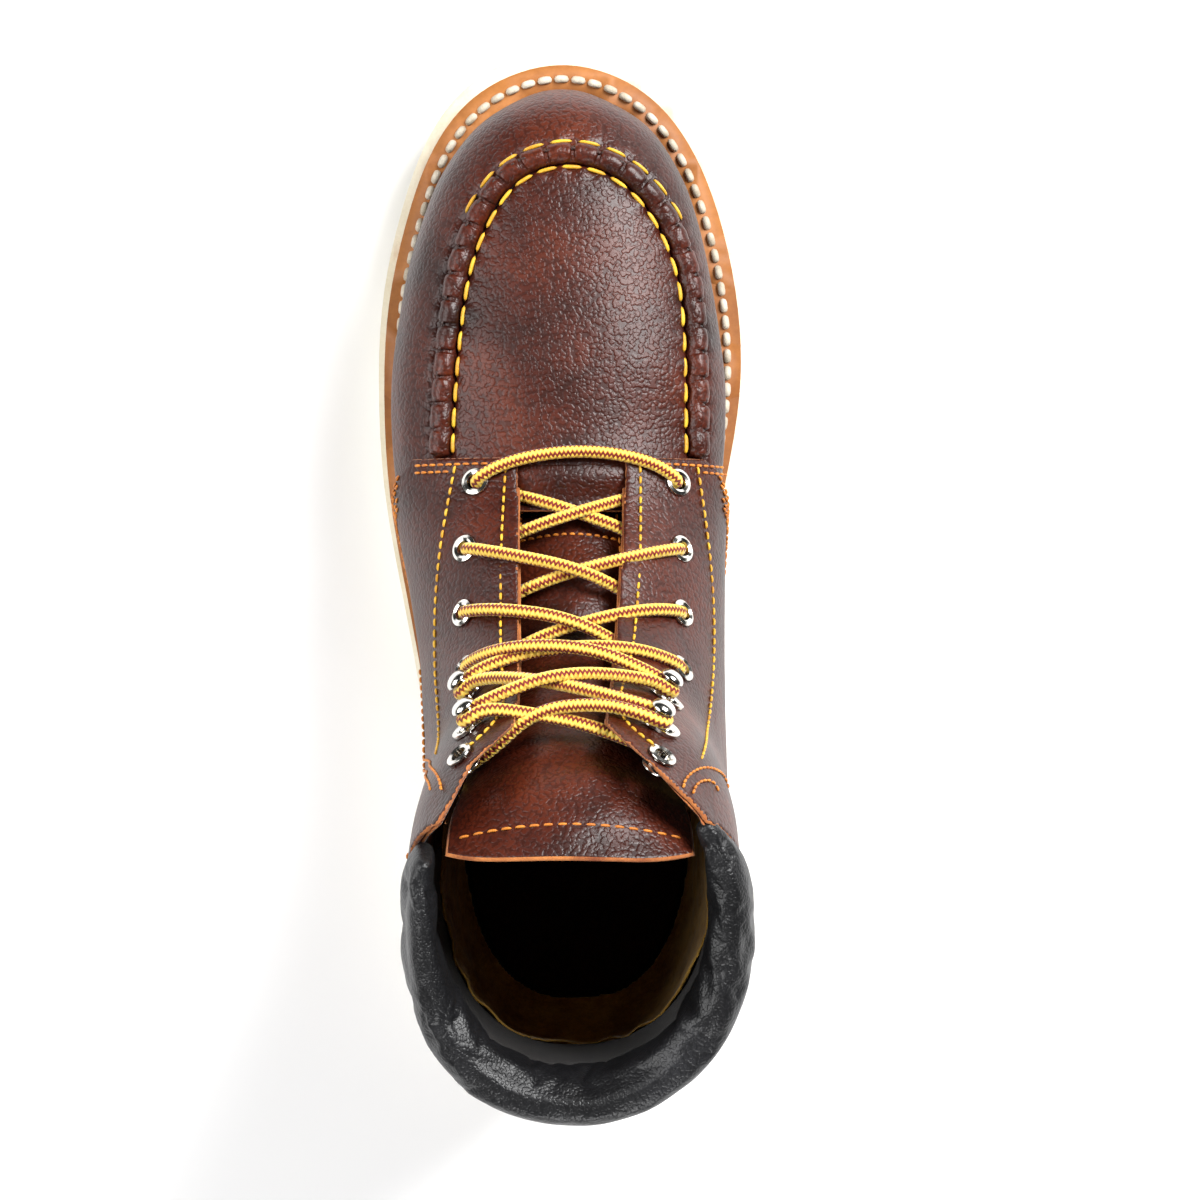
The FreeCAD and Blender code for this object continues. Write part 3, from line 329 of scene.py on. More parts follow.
def tube(name, path, radius, materials, around=16, radial=None):
    """A closed-ended tube along a path in mm. radial gives the radius as a grid (points, around).
    Its UV map runs round it in U from 0 to 1 and along it in V in metres."""
    _, side, up = frames_along(path)
    angle = np.linspace(0, 2 * np.pi, around, endpoint=False)
    r = radial if radial is not None else np.full((len(path), around), radius)
    rings = path[:, None] + r[..., None] * (
        np.cos(angle)[None, :, None] * side[:, None] + np.sin(angle)[None, :, None] * up[:, None]
    )
    verts = np.concatenate((rings.reshape(-1, 3), path[:1], path[-1:]))
    n = len(path)
    faces = grid_faces(n, around, close_columns=True).tolist()
    last = n * around
    for k in range(around):
        faces.append((last, (k + 1) % around, k))
        faces.append((last + 1, (n - 1) * around + k, (n - 1) * around + (k + 1) % around))
    obj = add_object(name, verts, faces, materials)
    run = run_along(path) * MM
    uv = obj.data.uv_layers.new(name="UVMap")
    loops = np.zeros(len(obj.data.loops), np.int32)
    obj.data.loops.foreach_get("vertex_index", loops)
    v = np.where(loops < last, run[np.minimum(loops // around, n - 1)], 0)
    u = np.where(loops < last, (loops % around) / around, 0)
    starts = np.arange(len(loops)) // 4 * 4
    quad_end = (n - 1) * around * 4
    first = u[np.minimum(starts, len(u) - 1)]
    u = np.where((np.arange(len(loops)) < quad_end) & (u < first - 0.5), u + 1, u)
    u = np.where((np.arange(len(loops)) < quad_end) & (u > first + 0.5), u - 1, u)
    uv.data.foreach_set("uv", np.stack((u, v), -1).ravel())
    return obj


def stitch_grid(starts, ends, normals, radius, sink, plump=1.0):
    """Plump threads, one for each start and end: an ellipse of revolution about the line between
    them, whose ends dip by sink into what they are sewn to."""
    count = len(starts)
    t = np.linspace(-1, 1, 9)
    a = np.linspace(0, 2 * np.pi, 8, endpoint=False)
    along = ends - starts
    length = np.linalg.norm(along, axis=1, keepdims=True)
    along = along / length
    side = unit(np.cross(along, normals))
    up = np.cross(side, along)
    swell = radius * (1 - np.abs(t) ** 3.2) ** 0.5 * plump
    centre = (
        (starts + ends)[:, None] / 2
        + along[:, None] * (length[:, None] / 2 * t[None, :, None])
        - up[:, None] * (sink * np.abs(t) ** 2.5)[None, :, None]
    )
    rim = np.cos(a)[None, :, None] * side[:, None] + np.sin(a)[None, :, None] * up[:, None]
    points = centre[:, :, None] + swell[None, :, None, None] * rim[:, None]
    cells = grid_faces(9, 8, close_columns=True)
    faces = (cells[None] + (np.arange(count) * 72)[:, None, None]).reshape(-1, 4)
    return points.reshape(-1, 3), faces


def stitch_row(points, normals, share, radius, sink, lift=0.0):
    """Grids of a stitch in each span of a row of points."""
    points = points + normals * lift
    a, b = points[:-1], points[1:]
    rest = (b - a) * (1 - share) / 2
    n = unit(normals[:-1] + normals[1:])
    return stitch_grid(a + rest, b - rest, n, radius, sink)


def joined_rows(name, rows, material):
    """One object from several rows of stitches."""
    verts, faces, total = [], [], 0
    for v, f in rows:
        verts.append(v)
        faces.append(f + total)
        total += len(v)
    obj = add_object(name, np.concatenate(verts), np.concatenate(faces), [material])
    orient(obj)
    return obj


def row_at(place, turn, pitch, depth):
    """Evenly pitched points and normals along a line of the form."""
    surface = form(place, turn, depth)
    run = run_along(surface)
    marks = np.linspace(0, run[-1], max(3, int(round(run[-1] / pitch)) + 1))
    place, turn = np.interp(marks, run, place), np.interp(marks, run, turn)
    return form(place, turn, depth), form_normal(place, turn)


def form_row(line, pitch, depth):
    """Evenly pitched points and normals on the form along a plan line."""
    plan = curve_through(line, 160) if len(line) < 100 else np.asarray(line)
    place, turn = on_form(plan[:, 0], plan[:, 1])
    return row_at(place, turn, pitch, depth)


def finished_copy(node, name, materials, sharp=32.0):
    """The node's own mesh with its loose triangles joined and shaded smooth."""
    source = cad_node(node)
    mesh = source.data.copy()
    mesh.name = name
    obj = bpy.data.objects.new(name, mesh)
    bpy.context.scene.collection.objects.link(obj)
    mesh.materials.clear()
    for material in materials:
        mesh.materials.append(material)
    bm = bmesh.new()
    bm.from_mesh(mesh)
    bmesh.ops.remove_doubles(bm, verts=bm.verts, dist=2e-6)
    bm.to_mesh(mesh)
    bm.free()
    mesh.polygons.foreach_set("material_index", np.zeros(len(mesh.polygons), np.int32))
    mesh.shade_smooth()
    mesh.set_sharp_from_angle(angle=math.radians(sharp))
    return obj


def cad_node(node):
    """The object of a CAD node."""
    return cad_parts[node]


def address(points):
    """Place, turn and depth of points near the form: the nearest of a coarse net of the form's
    points, then Newton's method in all three."""
    net_place, net_turn = np.meshgrid(
        np.linspace(0.4, 16, 32), np.arange(3.0, 360, 8), indexing="ij"
    )
    net = form(net_place, net_turn).reshape(-1, 3)
    far = (net**2).sum(1)[None] - 2 * points @ net.T
    nearest = far.argmin(1)
    place, turn = net_place.ravel()[nearest], net_turn.ravel()[nearest]
    depth = np.zeros(len(points))
    e = 1e-3
    for _ in range(14):
        here = form(place, turn, depth)
        columns = np.stack(
            (
                form(place + e, turn, depth),
                form(place, turn + e, depth),
                form(place, turn, depth + e),
            ),
            -1,
        )
        columns = (columns - here[..., None]) / e + 1e-7 * np.eye(3)
        step = np.linalg.solve(columns, (points - here)[..., None])[..., 0]
        place = np.clip(place + np.clip(step[:, 0], -0.4, 0.4), 0.05, 16.4)
        turn = turn + np.clip(step[:, 1], -6, 6)
        depth = np.clip(depth + np.clip(step[:, 2], -3, 3), -8, 12)
    return place, turn, depth


def points_of(obj):
    """A mesh object's points in mm."""
    flat = np.zeros(len(obj.data.vertices) * 3)
    obj.data.vertices.foreach_get("co", flat)
    return flat.reshape(-1, 3) / MM


def move_points(obj, points):
    """Puts a mesh object's points at places in mm."""
    obj.data.vertices.foreach_set("co", (points * MM).ravel())
    obj.data.update()


def normals_of(obj):
    """A mesh object's normals at its points."""
    flat = np.zeros(len(obj.data.vertices) * 3)
    obj.data.vertex_normals.foreach_get("vector", flat)
    return flat.reshape(-1, 3)


def face_means(obj, values):
    """The mean over each face of a value given at the points."""
    mesh = obj.data
    totals = np.zeros(len(mesh.polygons), np.int32)
    mesh.polygons.foreach_get("loop_total", totals)
    corners = np.zeros(len(mesh.loops), np.int32)
    mesh.loops.foreach_get("vertex_index", corners)
    starts = np.concatenate(([0], np.cumsum(totals)[:-1]))
    return np.add.reduceat(values[corners], starts) / totals


def baked(obj):
    """Applies an object's modifiers to its mesh."""
    graph = bpy.context.evaluated_depsgraph_get()
    mesh = bpy.data.meshes.new_from_object(obj.evaluated_get(graph))
    obj.modifiers.clear()
    obj.data = mesh
    mesh.shade_smooth()
    return obj


def subdivide(obj):
    """One level of subdivision, applied."""
    level = obj.modifiers.new("smooth", "SUBSURF")
    level.levels = level.render_levels = 1
    return baked(obj)


def soft_copy(node, name, voxel, materials, ease=4):
    """The node's own shape on an even mesh, its edges eased as cut leather's are."""
    obj = finished_copy(node, name, materials)
    even = obj.modifiers.new("even", "REMESH")
    even.mode = "VOXEL"
    even.voxel_size = voxel * MM
    even.use_smooth_shade = True
    eased = obj.modifiers.new("ease", "SMOOTH")
    eased.factor = 0.5
    eased.iterations = ease
    return baked(obj)


# ---------------------------------------------------------------- materials


def linear(code, alpha=1.0):
    """An sRGB hex colour as linear red, green, blue and alpha. A colour setting, linear already,
    is passed on."""
    if not isinstance(code, str):
        return tuple(code)
    parts = [int(code[i : i + 2], 16) / 255 for i in (0, 2, 4)]
    return [c / 12.92 if c <= 0.04045 else ((c + 0.055) / 1.055) ** 2.4 for c in parts] + [alpha]


def add(tree, kind, settings=None, links=None, **attributes):
    """One node: attributes first, then socket values, then links into its sockets."""
    item = tree.nodes.new(kind)
    for key, value in attributes.items():
        setattr(item, key, value)
    for key, value in (settings or {}).items():
        item.inputs[key].default_value = value
    for key, socket in (links or {}).items():
        tree.links.new(socket, item.inputs[key])
    return item


def ramp(tree, factor, stops):
    """A colour ramp from (position, linear colour) stops."""
    item = add(tree, "ShaderNodeValToRGB", links={"Fac": factor})
    while len(item.color_ramp.elements) < len(stops):
        item.color_ramp.elements.new(0.5)
    for element, (position, colour) in zip(item.color_ramp.elements, stops):
        element.position = position
        element.color = colour
    return item.outputs["Color"]


def new_material(name, **shader):
    """A material with one Principled shader whose plain values are set on its own sockets."""
    material = bpy.data.materials.new(name)
    material.use_nodes = True
    tree = material.node_tree
    principled = tree.nodes["Principled BSDF"]
    for key, value in shader.items():
        principled.inputs[key.replace("_", " ")].default_value = value
    return material, tree, principled


def grey(value):
    """A linear grey."""
    return (value, value, value, 1.0)


def leather(name, deep, body, light, grain_mm, bump, roughness, sheen=0.0, painted_shade=False):
    """Full-grain leather, milled and oiled: pebbles of its own grain, darker in the creases between
    them, with slow patches of colour from the oil. It can also be painted darker where a crease
    attribute marks shade on a seam."""
    material, tree, principled = new_material(
        name, Roughness=roughness, Sheen_Weight=sheen, Sheen_Roughness=0.5, Specular_IOR_Level=0.36
    )
    where = add(tree, "ShaderNodeTexCoord").outputs["Object"]
    warp = add(tree, "ShaderNodeTexNoise", {"Scale": 420.0, "Detail": 3.0}, {"Vector": where})
    scale = 1.0 / (grain_mm * MM)
    shifted = add(
        tree, "ShaderNodeVectorMath", {"Scale": grain_mm * MM * 1.3},
        {"Vector": warp.outputs["Color"]}, operation="SCALE",
    )
    bent = add(
        tree, "ShaderNodeVectorMath", None,
        {0: where, 1: shifted.outputs["Vector"]}, operation="ADD",
    ).outputs["Vector"]
    cells = add(
        tree, "ShaderNodeTexVoronoi", {"Scale": scale, "Randomness": 1.0, "Smoothness": 0.35},
        {"Vector": bent}, feature="SMOOTH_F1",
    ).outputs["Distance"]
    crease = add(
        tree, "ShaderNodeMapRange", {"From Min": 0.75, "From Max": 0.35}, {"Value": cells},
        interpolation_type="SMOOTHSTEP",
    ).outputs["Result"]
    patches = add(
        tree, "ShaderNodeTexNoise", {"Scale": 26.0, "Detail": 4.0, "Roughness": 0.6},
        {"Vector": where},
    ).outputs["Fac"]
    fine = add(
        tree, "ShaderNodeTexNoise", {"Scale": 2600.0, "Detail": 2.0}, {"Vector": where},
    ).outputs["Fac"]
    base = ramp(tree, patches, [(0.32, linear(deep)), (0.52, linear(body)), (0.74, linear(light))])
    creased = add(tree, "ShaderNodeMix", None, {"Factor": crease}, data_type="RGBA")
    creased.inputs["A"].default_value = linear(deep)
    tree.links.new(base, creased.inputs["B"])
    colour = add(tree, "ShaderNodeMix", {"Factor": 0.5}, None, data_type="RGBA")
    tree.links.new(base, colour.inputs["A"])
    tree.links.new(creased.outputs["Result"], colour.inputs["B"])
    final = colour.outputs["Result"]
    # painted shade: where the seam's crease attribute is set, the colour is mixed toward near black
    # (120503) in the slits and on the bead's flanks, where shade falls
    if painted_shade:
        slit = add(tree, "ShaderNodeAttribute", attribute_name="crease").outputs["Fac"]
        dark = add(tree, "ShaderNodeMix", None, {"Factor": slit}, data_type="RGBA")
        tree.links.new(final, dark.inputs["A"])
        dark.inputs["B"].default_value = linear("120503")
        final = dark.outputs["Result"]
    tree.links.new(final, principled.inputs["Base Color"])
    top = add(
        tree, "ShaderNodeMath", {1: 0.1}, {0: fine, 2: crease}, operation="MULTIPLY_ADD",
    )
    wrinkles = add(
        tree, "ShaderNodeTexNoise", {"Scale": 95.0, "Detail": 3.0, "Distortion": 0.4},
        {"Vector": where},
    ).outputs["Fac"]
    raised = add(
        tree, "ShaderNodeMath", {1: 0.4}, {0: wrinkles, 2: top.outputs["Value"]},
        operation="MULTIPLY_ADD",
    )
    relief = add(
        tree, "ShaderNodeBump", {"Strength": bump, "Distance": grain_mm * MM * 0.22},
        {"Height": raised.outputs["Value"]},
    )
    tree.links.new(relief.outputs["Normal"], principled.inputs["Normal"])
    return material


def fibrous(name, dark, light, scale, bump, roughness, sheen=0.0, distance=0.0003):
    """A soft or raw surface: suede nap, cut leather edge, cork, board or foam, mottled at the size
    of its fibres."""
    material, tree, principled = new_material(
        name, Roughness=roughness, Sheen_Weight=sheen, Sheen_Roughness=0.4
    )
    where = add(tree, "ShaderNodeTexCoord").outputs["Object"]
    noise = add(
        tree, "ShaderNodeTexNoise", {"Scale": scale, "Detail": 6.0, "Roughness": 0.65},
        {"Vector": where},
    ).outputs["Fac"]
    slow = add(
        tree, "ShaderNodeTexNoise", {"Scale": scale / 14, "Detail": 3.0}, {"Vector": where}
    ).outputs["Fac"]
    both = add(tree, "ShaderNodeMath", {1: 0.5}, {0: noise, 2: slow}, operation="MULTIPLY_ADD")
    colour = ramp(tree, both.outputs["Value"], [(0.5, linear(dark)), (1.0, linear(light))])
    tree.links.new(colour, principled.inputs["Base Color"])
    relief = add(
        tree, "ShaderNodeBump", {"Strength": bump, "Distance": distance}, {"Height": noise}
    )
    tree.links.new(relief.outputs["Normal"], principled.inputs["Normal"])
    return material


def lace_weave():
    """Round braided polyester lace: gold with maroon bands whose edges zigzag at each strand."""
    material, tree, principled = new_material(
        "braided polyester lace", Roughness=0.72, Sheen_Weight=0.25, Sheen_Roughness=0.4
    )
    uv = add(tree, "ShaderNodeUVMap", uv_map="UVMap").outputs["UV"]
    split = add(tree, "ShaderNodeSeparateXYZ", None, {"Vector": uv})
    around, along = split.outputs["X"], split.outputs["Y"]
    steps = add(tree, "ShaderNodeMath", {1: 1 / 0.00065}, {0: along}, operation="MULTIPLY")
    zigzag = add(
        tree, "ShaderNodeMath", {1: 1.0}, {0: steps.outputs["Value"]}, operation="PINGPONG"
    )
    bands = add(
        tree, "ShaderNodeMath", {1: 4.0}, {0: around}, operation="MULTIPLY"
    )
    shifted = add(
        tree, "ShaderNodeMath", {1: 0.35}, {0: zigzag.outputs["Value"], 2: bands.outputs["Value"]},
        operation="MULTIPLY_ADD",
    )
    phase = add(tree, "ShaderNodeMath", None, {0: shifted.outputs["Value"]}, operation="FRACT")
    colour = ramp(
        tree, phase.outputs["Value"],
        [
            (0.0, linear("f2c53a")), (0.30, linear("f7da6a")), (0.55, linear("e9a82a")),
            (0.62, linear("7c1a10")), (0.93, linear("6b140d")), (0.99, linear("e0a32c")),
        ],
    )
    tree.links.new(colour, principled.inputs["Base Color"])
    braid = add(tree, "ShaderNodeMath", {1: 18.85}, {0: around}, operation="MULTIPLY")
    wave = add(
        tree, "ShaderNodeMath", {1: 2992.0}, {0: along, 2: braid.outputs["Value"]},
        operation="MULTIPLY_ADD",
    )
    crest = add(tree, "ShaderNodeMath", None, {0: wave.outputs["Value"]}, operation="SINE")
    other = add(
        tree, "ShaderNodeMath", {1: -2992.0}, {0: along, 2: braid.outputs["Value"]},
        operation="MULTIPLY_ADD",
    )
    crest2 = add(tree, "ShaderNodeMath", None, {0: other.outputs["Value"]}, operation="SINE")
    weave = add(
        tree, "ShaderNodeMath", None, {0: crest.outputs["Value"], 1: crest2.outputs["Value"]},
        operation="MAXIMUM",
    )
    relief = add(
        tree, "ShaderNodeBump", {"Strength": 0.7, "Distance": 0.00025},
        {"Height": weave.outputs["Value"]},
    )
    tree.links.new(relief.outputs["Normal"], principled.inputs["Normal"])
    return material


def metal(name, colour, roughness):
    """Plated or bare steel, with the faint cloudiness of handling in its polish."""
    material, tree, principled = new_material(name, Metallic=1.0, Roughness=roughness)
    principled.inputs["Base Color"].default_value = linear(colour)
    where = add(tree, "ShaderNodeTexCoord").outputs["Object"]
    noise = add(
        tree, "ShaderNodeTexNoise", {"Scale": 500.0, "Detail": 3.0}, {"Vector": where}
    ).outputs["Fac"]
    spread = add(
        tree, "ShaderNodeMapRange", {"To Min": roughness * 0.7, "To Max": roughness * 1.5},
        {"Value": noise},
    )
    tree.links.new(spread.outputs["Result"], principled.inputs["Roughness"])
    return material


MATERIALS = {}


def make_materials():
    """Every finish of the boot."""
    chosen = bpy.context.scene.boot
    MATERIALS.update(
        # drum-milled hide: pebbled, with a soft oily sheen and slow dark patches
        upper=leather(
            "oiled full-grain leather", "1c0602", chosen.leather_colour, "5e2611", 1.25, 0.45, 0.4
        ),
        # the same hide pulled tight, so smoother, with painted shade that darkens it in its slits
        # and on the bead's flanks
        seam=leather(
            "gathered full-grain leather", "240a04", "4c1a0a", "642a12", 1.0, 0.25, 0.38, 0.0, True
        ),
        # cut with a knife: matt and fibrous
        edge=fibrous("raw leather edge", "7a3a16", "c47a3c", 1500.0, 0.8, 0.85, 0.2),
        # bark-tanned and rolled: even, firm, a little shine
        welt=fibrous("vegetable-tanned welt leather", "8a5124", "b9773a", 420.0, 0.25, 0.6),
        # moulded sheet: plain and matt
        midsole=fibrous("tan rubber midsole", "9a5c2c", "bf7a40", 700.0, 0.2, 0.7),
        # coagulated and sheeted: cream, mottled and slightly crinkled
        crepe=fibrous("crepe rubber", "ddd2b4", chosen.sole_colour, 900.0, 0.45, 0.75, 0.0, 0.0005),
        # thin dyed hide: fine grain, soft highlights
        collar=leather(
            "soft black garment leather", "0b0b0c", chosen.collar_colour, "232326", 0.9, 0.45, 0.4
        ),
        # brushed cloth: no shine
        lining=fibrous("black brushed lining", "141212", "262220", 2400.0, 0.5, 0.95, 0.2),
        # sanded split: a velvety nap that is pale at grazing angles
        suede=fibrous("tan pigskin suede", "9a6c1e", "dcae50", 1100.0, 0.6, 0.95, 0.35),
        # plain woven cover over foam: matt
        footbed=fibrous("dark woven footbed cover", "170504", "2a0d0a", 1300.0, 0.5, 0.95, 0.1),
        # ground and glued: coarse granules
        cork=fibrous("cork filler", "6b4a2a", "b58a58", 600.0, 0.8, 0.9),
        # pressed fibres: flat and dull
        board=fibrous("fibreboard", "8a7250", "b39a72", 1500.0, 0.3, 0.85),
        # sliced open cells: rough and dark in its pores
        foam=fibrous("open-cell foam", "4a4640", "6a655c", 1800.0, 0.9, 0.95),
        # rolled and tempered: grey, with a blurred reflection
        steel=metal("bare spring steel", "8c8f94", 0.38),
        # bright plating over a pressed shell: sharp reflection
        nickel=metal("nickel-plated steel", chosen.metal_colour, 0.16),
        # threads: plies too fine to show, so only their mottle is drawn
        thread_pale=fibrous(
            "waxed linen welt thread", "a2947c", "e4dac8", 2600.0, 0.6, 0.6, 0.1, 0.0002
        ),
        thread_gold=fibrous(
            "gold polyester thread", "b97a0c", chosen.thread_colour, 2600.0, 0.6, 0.5, 0.1, 0.0002
        ),
        thread_orange=fibrous(
            "orange polyester thread", "a85a10", "e08a24", 2600.0, 0.6, 0.5, 0.1, 0.0002
        ),
        thread_brown=fibrous(
            "brown waxed thread", "1c0a05", "3a1a10", 2600.0, 0.5, 0.5, 0.0, 0.0002
        ),
        lace=lace_weave(),
        # dipped tip: smooth and glossy
        aglet=fibrous("clear-coated aglet", "5a160e", "7c2416", 800.0, 0.1, 0.25),
    )


# ---------------------------------------------------------------- pieces


def placed(obj, body, slot, *nodes):
    """Attaches a piece to its body and hides the nodes that it stands for. Its slot is not used."""
    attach(obj, body)
    if nodes:
        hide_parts(*nodes)
    return obj


# node, finish, record slot
COPIES = [
    ("outsole", "crepe", "crepe_rubber"),
    ("midsole", "midsole", "midsole_rubber"),
    ("welt", "welt", "leather_welt"),
    ("insole_board", "board", "fibreboard"),
    ("cork_filler", "cork", "cork"),
    ("shank", "steel", "steel"),
    ("footbed", "footbed", "lining_fabric"),
    ("steel_toe_cap", "steel", "steel"),
    ("toe_cap_edge", "foam", "foam"),
    ("vamp_lining", "lining", "lining_fabric"),
    ("quarter_lining", "lining", "lining_fabric"),
    ("heel_counter", "board", "fibreboard"),
    ("collar_foam", "foam", "foam"),
    ("eyelets", "nickel", "nickel"),
    ("speed_hooks", "nickel", "nickel"),
    ("hook_rivets", "nickel", "nickel"),
    ("lace_aglets", "aglet", "aglet_plastic"),
]


def make_plain_parts():
    """The parts whose own shape is right, joined and finished."""
    for node, finish, slot in COPIES:
        obj = finished_copy(node, node + "_finished", [MATERIALS[finish]])
        if node == "collar_foam":
            move_points(obj, points_of(obj) - FOAM_IN * normals_of(obj))
        placed(obj, "boot", slot, node)


def crumple(points, wave):
    """Slow folds of handled leather, from -1 to 1: sines in skew directions, each bent by
    another."""
    x, y, z = points.T / wave
    a = np.sin(2.1 * x + 1.3 * y + 0.7 * z + 1.5 * np.sin(1.1 * y - 0.8 * z))
    b = np.sin(1.7 * z - 2.3 * y + 0.6 * x + 1.2 * np.sin(1.4 * x + 0.5 * z))
    c = np.sin(4.1 * y + 3.3 * z + 1.9 * np.sin(2.3 * z - 1.2 * x))
    return (a + 0.8 * b + 0.5 * c) / 2.3


def near_line(points, line):
    """Distance to the nearest point of a line and how far along the line it is."""
    far = (line**2).sum(1)[None] - 2 * points @ line.T
    nearest = far.argmin(1)
    run = run_along(line)
    return np.linalg.norm(points - line[nearest], axis=1), run[nearest]


def seam_top():
    """The gathered seam's centre line on the form, and the pitch of its pleats."""
    line = over(*curve_through(SEAM, 900).T, 0.2)
    total = length_of(line)
    return line, total / round(total / (bpy.context.scene.boot.pleat_pitch / MM))


def facing_out(obj, place, turn):
    """How far each face of a layer looks out of the form: 1 on its grain side, 0 on a cut edge."""
    return face_means(obj, (normals_of(obj) * form_normal(place, turn)).sum(1))


def leather_part(node, name, slot, voxel, relief, fold=0.0, cut_shows=True):
    """A cut leather part: its own shape with eased edges, folded a little and raised by relief. Its
    cut edges and its flesh side show the raw colour."""
    obj = soft_copy(node, name, voxel, [MATERIALS["upper"], MATERIALS["edge"]])
    points = points_of(obj)
    place, turn, _ = address(points)
    raw = (facing_out(obj, place, turn) < RAW_SHOWS) & cut_shows
    lift = fold * crumple(points, 13.0) + (relief(points) if relief else 0.0)
    move_points(obj, points + form_normal(place, turn) * lift[:, None])
    obj.data.polygons.foreach_set("material_index", raw.astype(np.int32))
    return placed(obj, "boot", slot, node)


def pleat_pull(points):
    """The pull of each gather on the leather beside the seam, dying away within a few mm."""
    line, pitch = seam_top()
    away, run = near_line(points, line)
    wave = np.cos(2 * np.pi * run / pitch)
    pull = -0.45 * wave * np.exp(-(((away - 4) / 3.0) ** 2))
    valley = -1.0 * np.exp(-(((away - 3.4) / 1.3) ** 2))
    return (pull + valley) * (away < 16)


def make_vamp():
    """The forefoot wall, drawn in at the seam. Its edges are turned under, so none shows raw."""
    leather_part("vamp", "vamp_wall", "leather_upper", 0.9, pleat_pull, 0.12, False)


def make_plug():
    """The apron, and the tail of it that shows between the lacing edges over the tongue's root."""
    leather_part("moc_plug", "moc_plug_panel", "leather_upper", 0.9, pleat_pull, 0.1, False)
    x, y = np.meshgrid(np.linspace(-14.5, 21, 40), np.linspace(27, 10, 24), indexing="ij")
    depth = 0.25 + 5.5 * smooth((22 - y) / 12)
    tail = panel(
        "plug_tail", over(x, y, depth), over(x, y, depth + 1.3),
        [MATERIALS["upper"], MATERIALS["edge"]],
    )
    placed(tail, "boot", "leather_upper")


def make_seam():
    """The gathered seam, a rolled bead: between slits each pleat swells like a small cushion, and
    each slit draws the bead in by a third of its radius. Its slits and its lower flanks are painted
    darker as shade."""
    line, pitch = seam_top()
    run = run_along(line)
    phase = run / pitch
    off = np.abs(phase - np.round(phase)) * pitch
    slit = np.exp(-((off / 0.5) ** 2))
    cushion = np.abs(np.sin(np.pi * phase)) ** 0.5
    angle = np.linspace(0, 2 * np.pi, 32, endpoint=False)
    _, side, up = frames_along(line)
    place, turn = on_form(line[:, 0], line[:, 1])
    out = form_normal(place, turn)
    height = np.cos(angle)[None] * (side * out).sum(1)[:, None]
    height = height + np.sin(angle)[None] * (up * out).sum(1)[:, None]
    ripple = 0.08 * np.sin(3 * angle[None] + 9 * phase[:, None])
    radius = (2.75 + 0.55 * cushion - 1.15 * slit)[:, None] + ripple + 0.25 * height
    bead = tube("gathered_seam", line, 3.0, [MATERIALS["seam"]], 32, radius)
    # painted shade: the colour darkens on the bead's sides and underside, which look away from the
    # form, and in each slit between pleats; both are stored in the crease attribute
    painted_flank_shade = 0.75 * smooth((0.35 - height) / 0.4)
    shade = bead.data.attributes.new("crease", "FLOAT", "POINT")
    painted_slit_and_flank_shade = np.maximum(1.0 * slit[:, None], painted_flank_shade)
    shade.data.foreach_set("value", np.concatenate((painted_slit_and_flank_shade.ravel(), [1, 1])))
    placed(bead, "boot", "leather_upper")


# the welt row: its pitch, how far it lies in from the welt's edge, and the welt's middle and halves
WELT_PITCH = 5.3
WELT_INSET = 4.2
WELT_MIDDLE = np.array([0.0, -1.8])
WELT_HALF = np.array([56.0, 151.2])


def make_welt_thread():
    """Heavy lock stitches laid round the welt, plump in the middle and drawn down at each hole."""
    edge = curve_through(WELT_EDGE, 4000, closed=True)
    inner = WELT_MIDDLE + (edge - WELT_MIDDLE) * (1 - WELT_INSET / WELT_HALF)
    loop = np.vstack((inner, inner[:1]))
    run = run_along(loop)
    marks = np.linspace(0, run[-1], int(round(run[-1] / WELT_PITCH)) + 1)
    points = np.stack([np.interp(marks, run, loop[:, k]) for k in range(2)], -1)
    points = np.column_stack((points, seat(points[:, 1]) + 0.6))
    normals = np.tile((0.0, 0.0, 1.0), (len(points), 1))
    row = stitch_row(points, normals, 0.92, 1.2, 0.9)
    thread = joined_rows("welt_thread", [row], MATERIALS["thread_pale"])
    placed(thread, "boot", "thread_pale", "welt_stitching")


def beside_seam(offset, start=0.0, end=1.0):
    """A plan line at a distance from the seam, outward positive."""
    line = curve_through(SEAM, 400)
    tangent = unit(np.gradient(line, axis=0))
    away = np.stack((-tangent[:, 1], tangent[:, 0]), -1)
    line = line + away * offset
    return line[int(start * 399) : int(end * 399) + 1]


def make_moc_thread():
    """Gold stitches along the seam's inner side, one to a pleat, the same outside it round the toe,
    and a sunk brown row along the bead's crest."""
    rows = [
        stitch_row(*form_row(beside_seam(-3.9), 7.7, -0.15), 0.84, 0.62, 0.45),
        stitch_row(*form_row(beside_seam(4.1, 0.33, 0.68), 8.4, -0.25), 0.8, 0.58, 0.5),
    ]
    thread = joined_rows("moc_thread", rows, MATERIALS["thread_gold"])
    placed(thread, "boot", "thread_yellow", "moc_stitching")
    crest = stitch_row(*form_row(beside_seam(0), 3.85, -3.0), 0.55, 0.4, 0.5)
    crest = joined_rows("crest_thread", [crest], MATERIALS["thread_brown"])
    placed(crest, "boot", "thread_yellow")


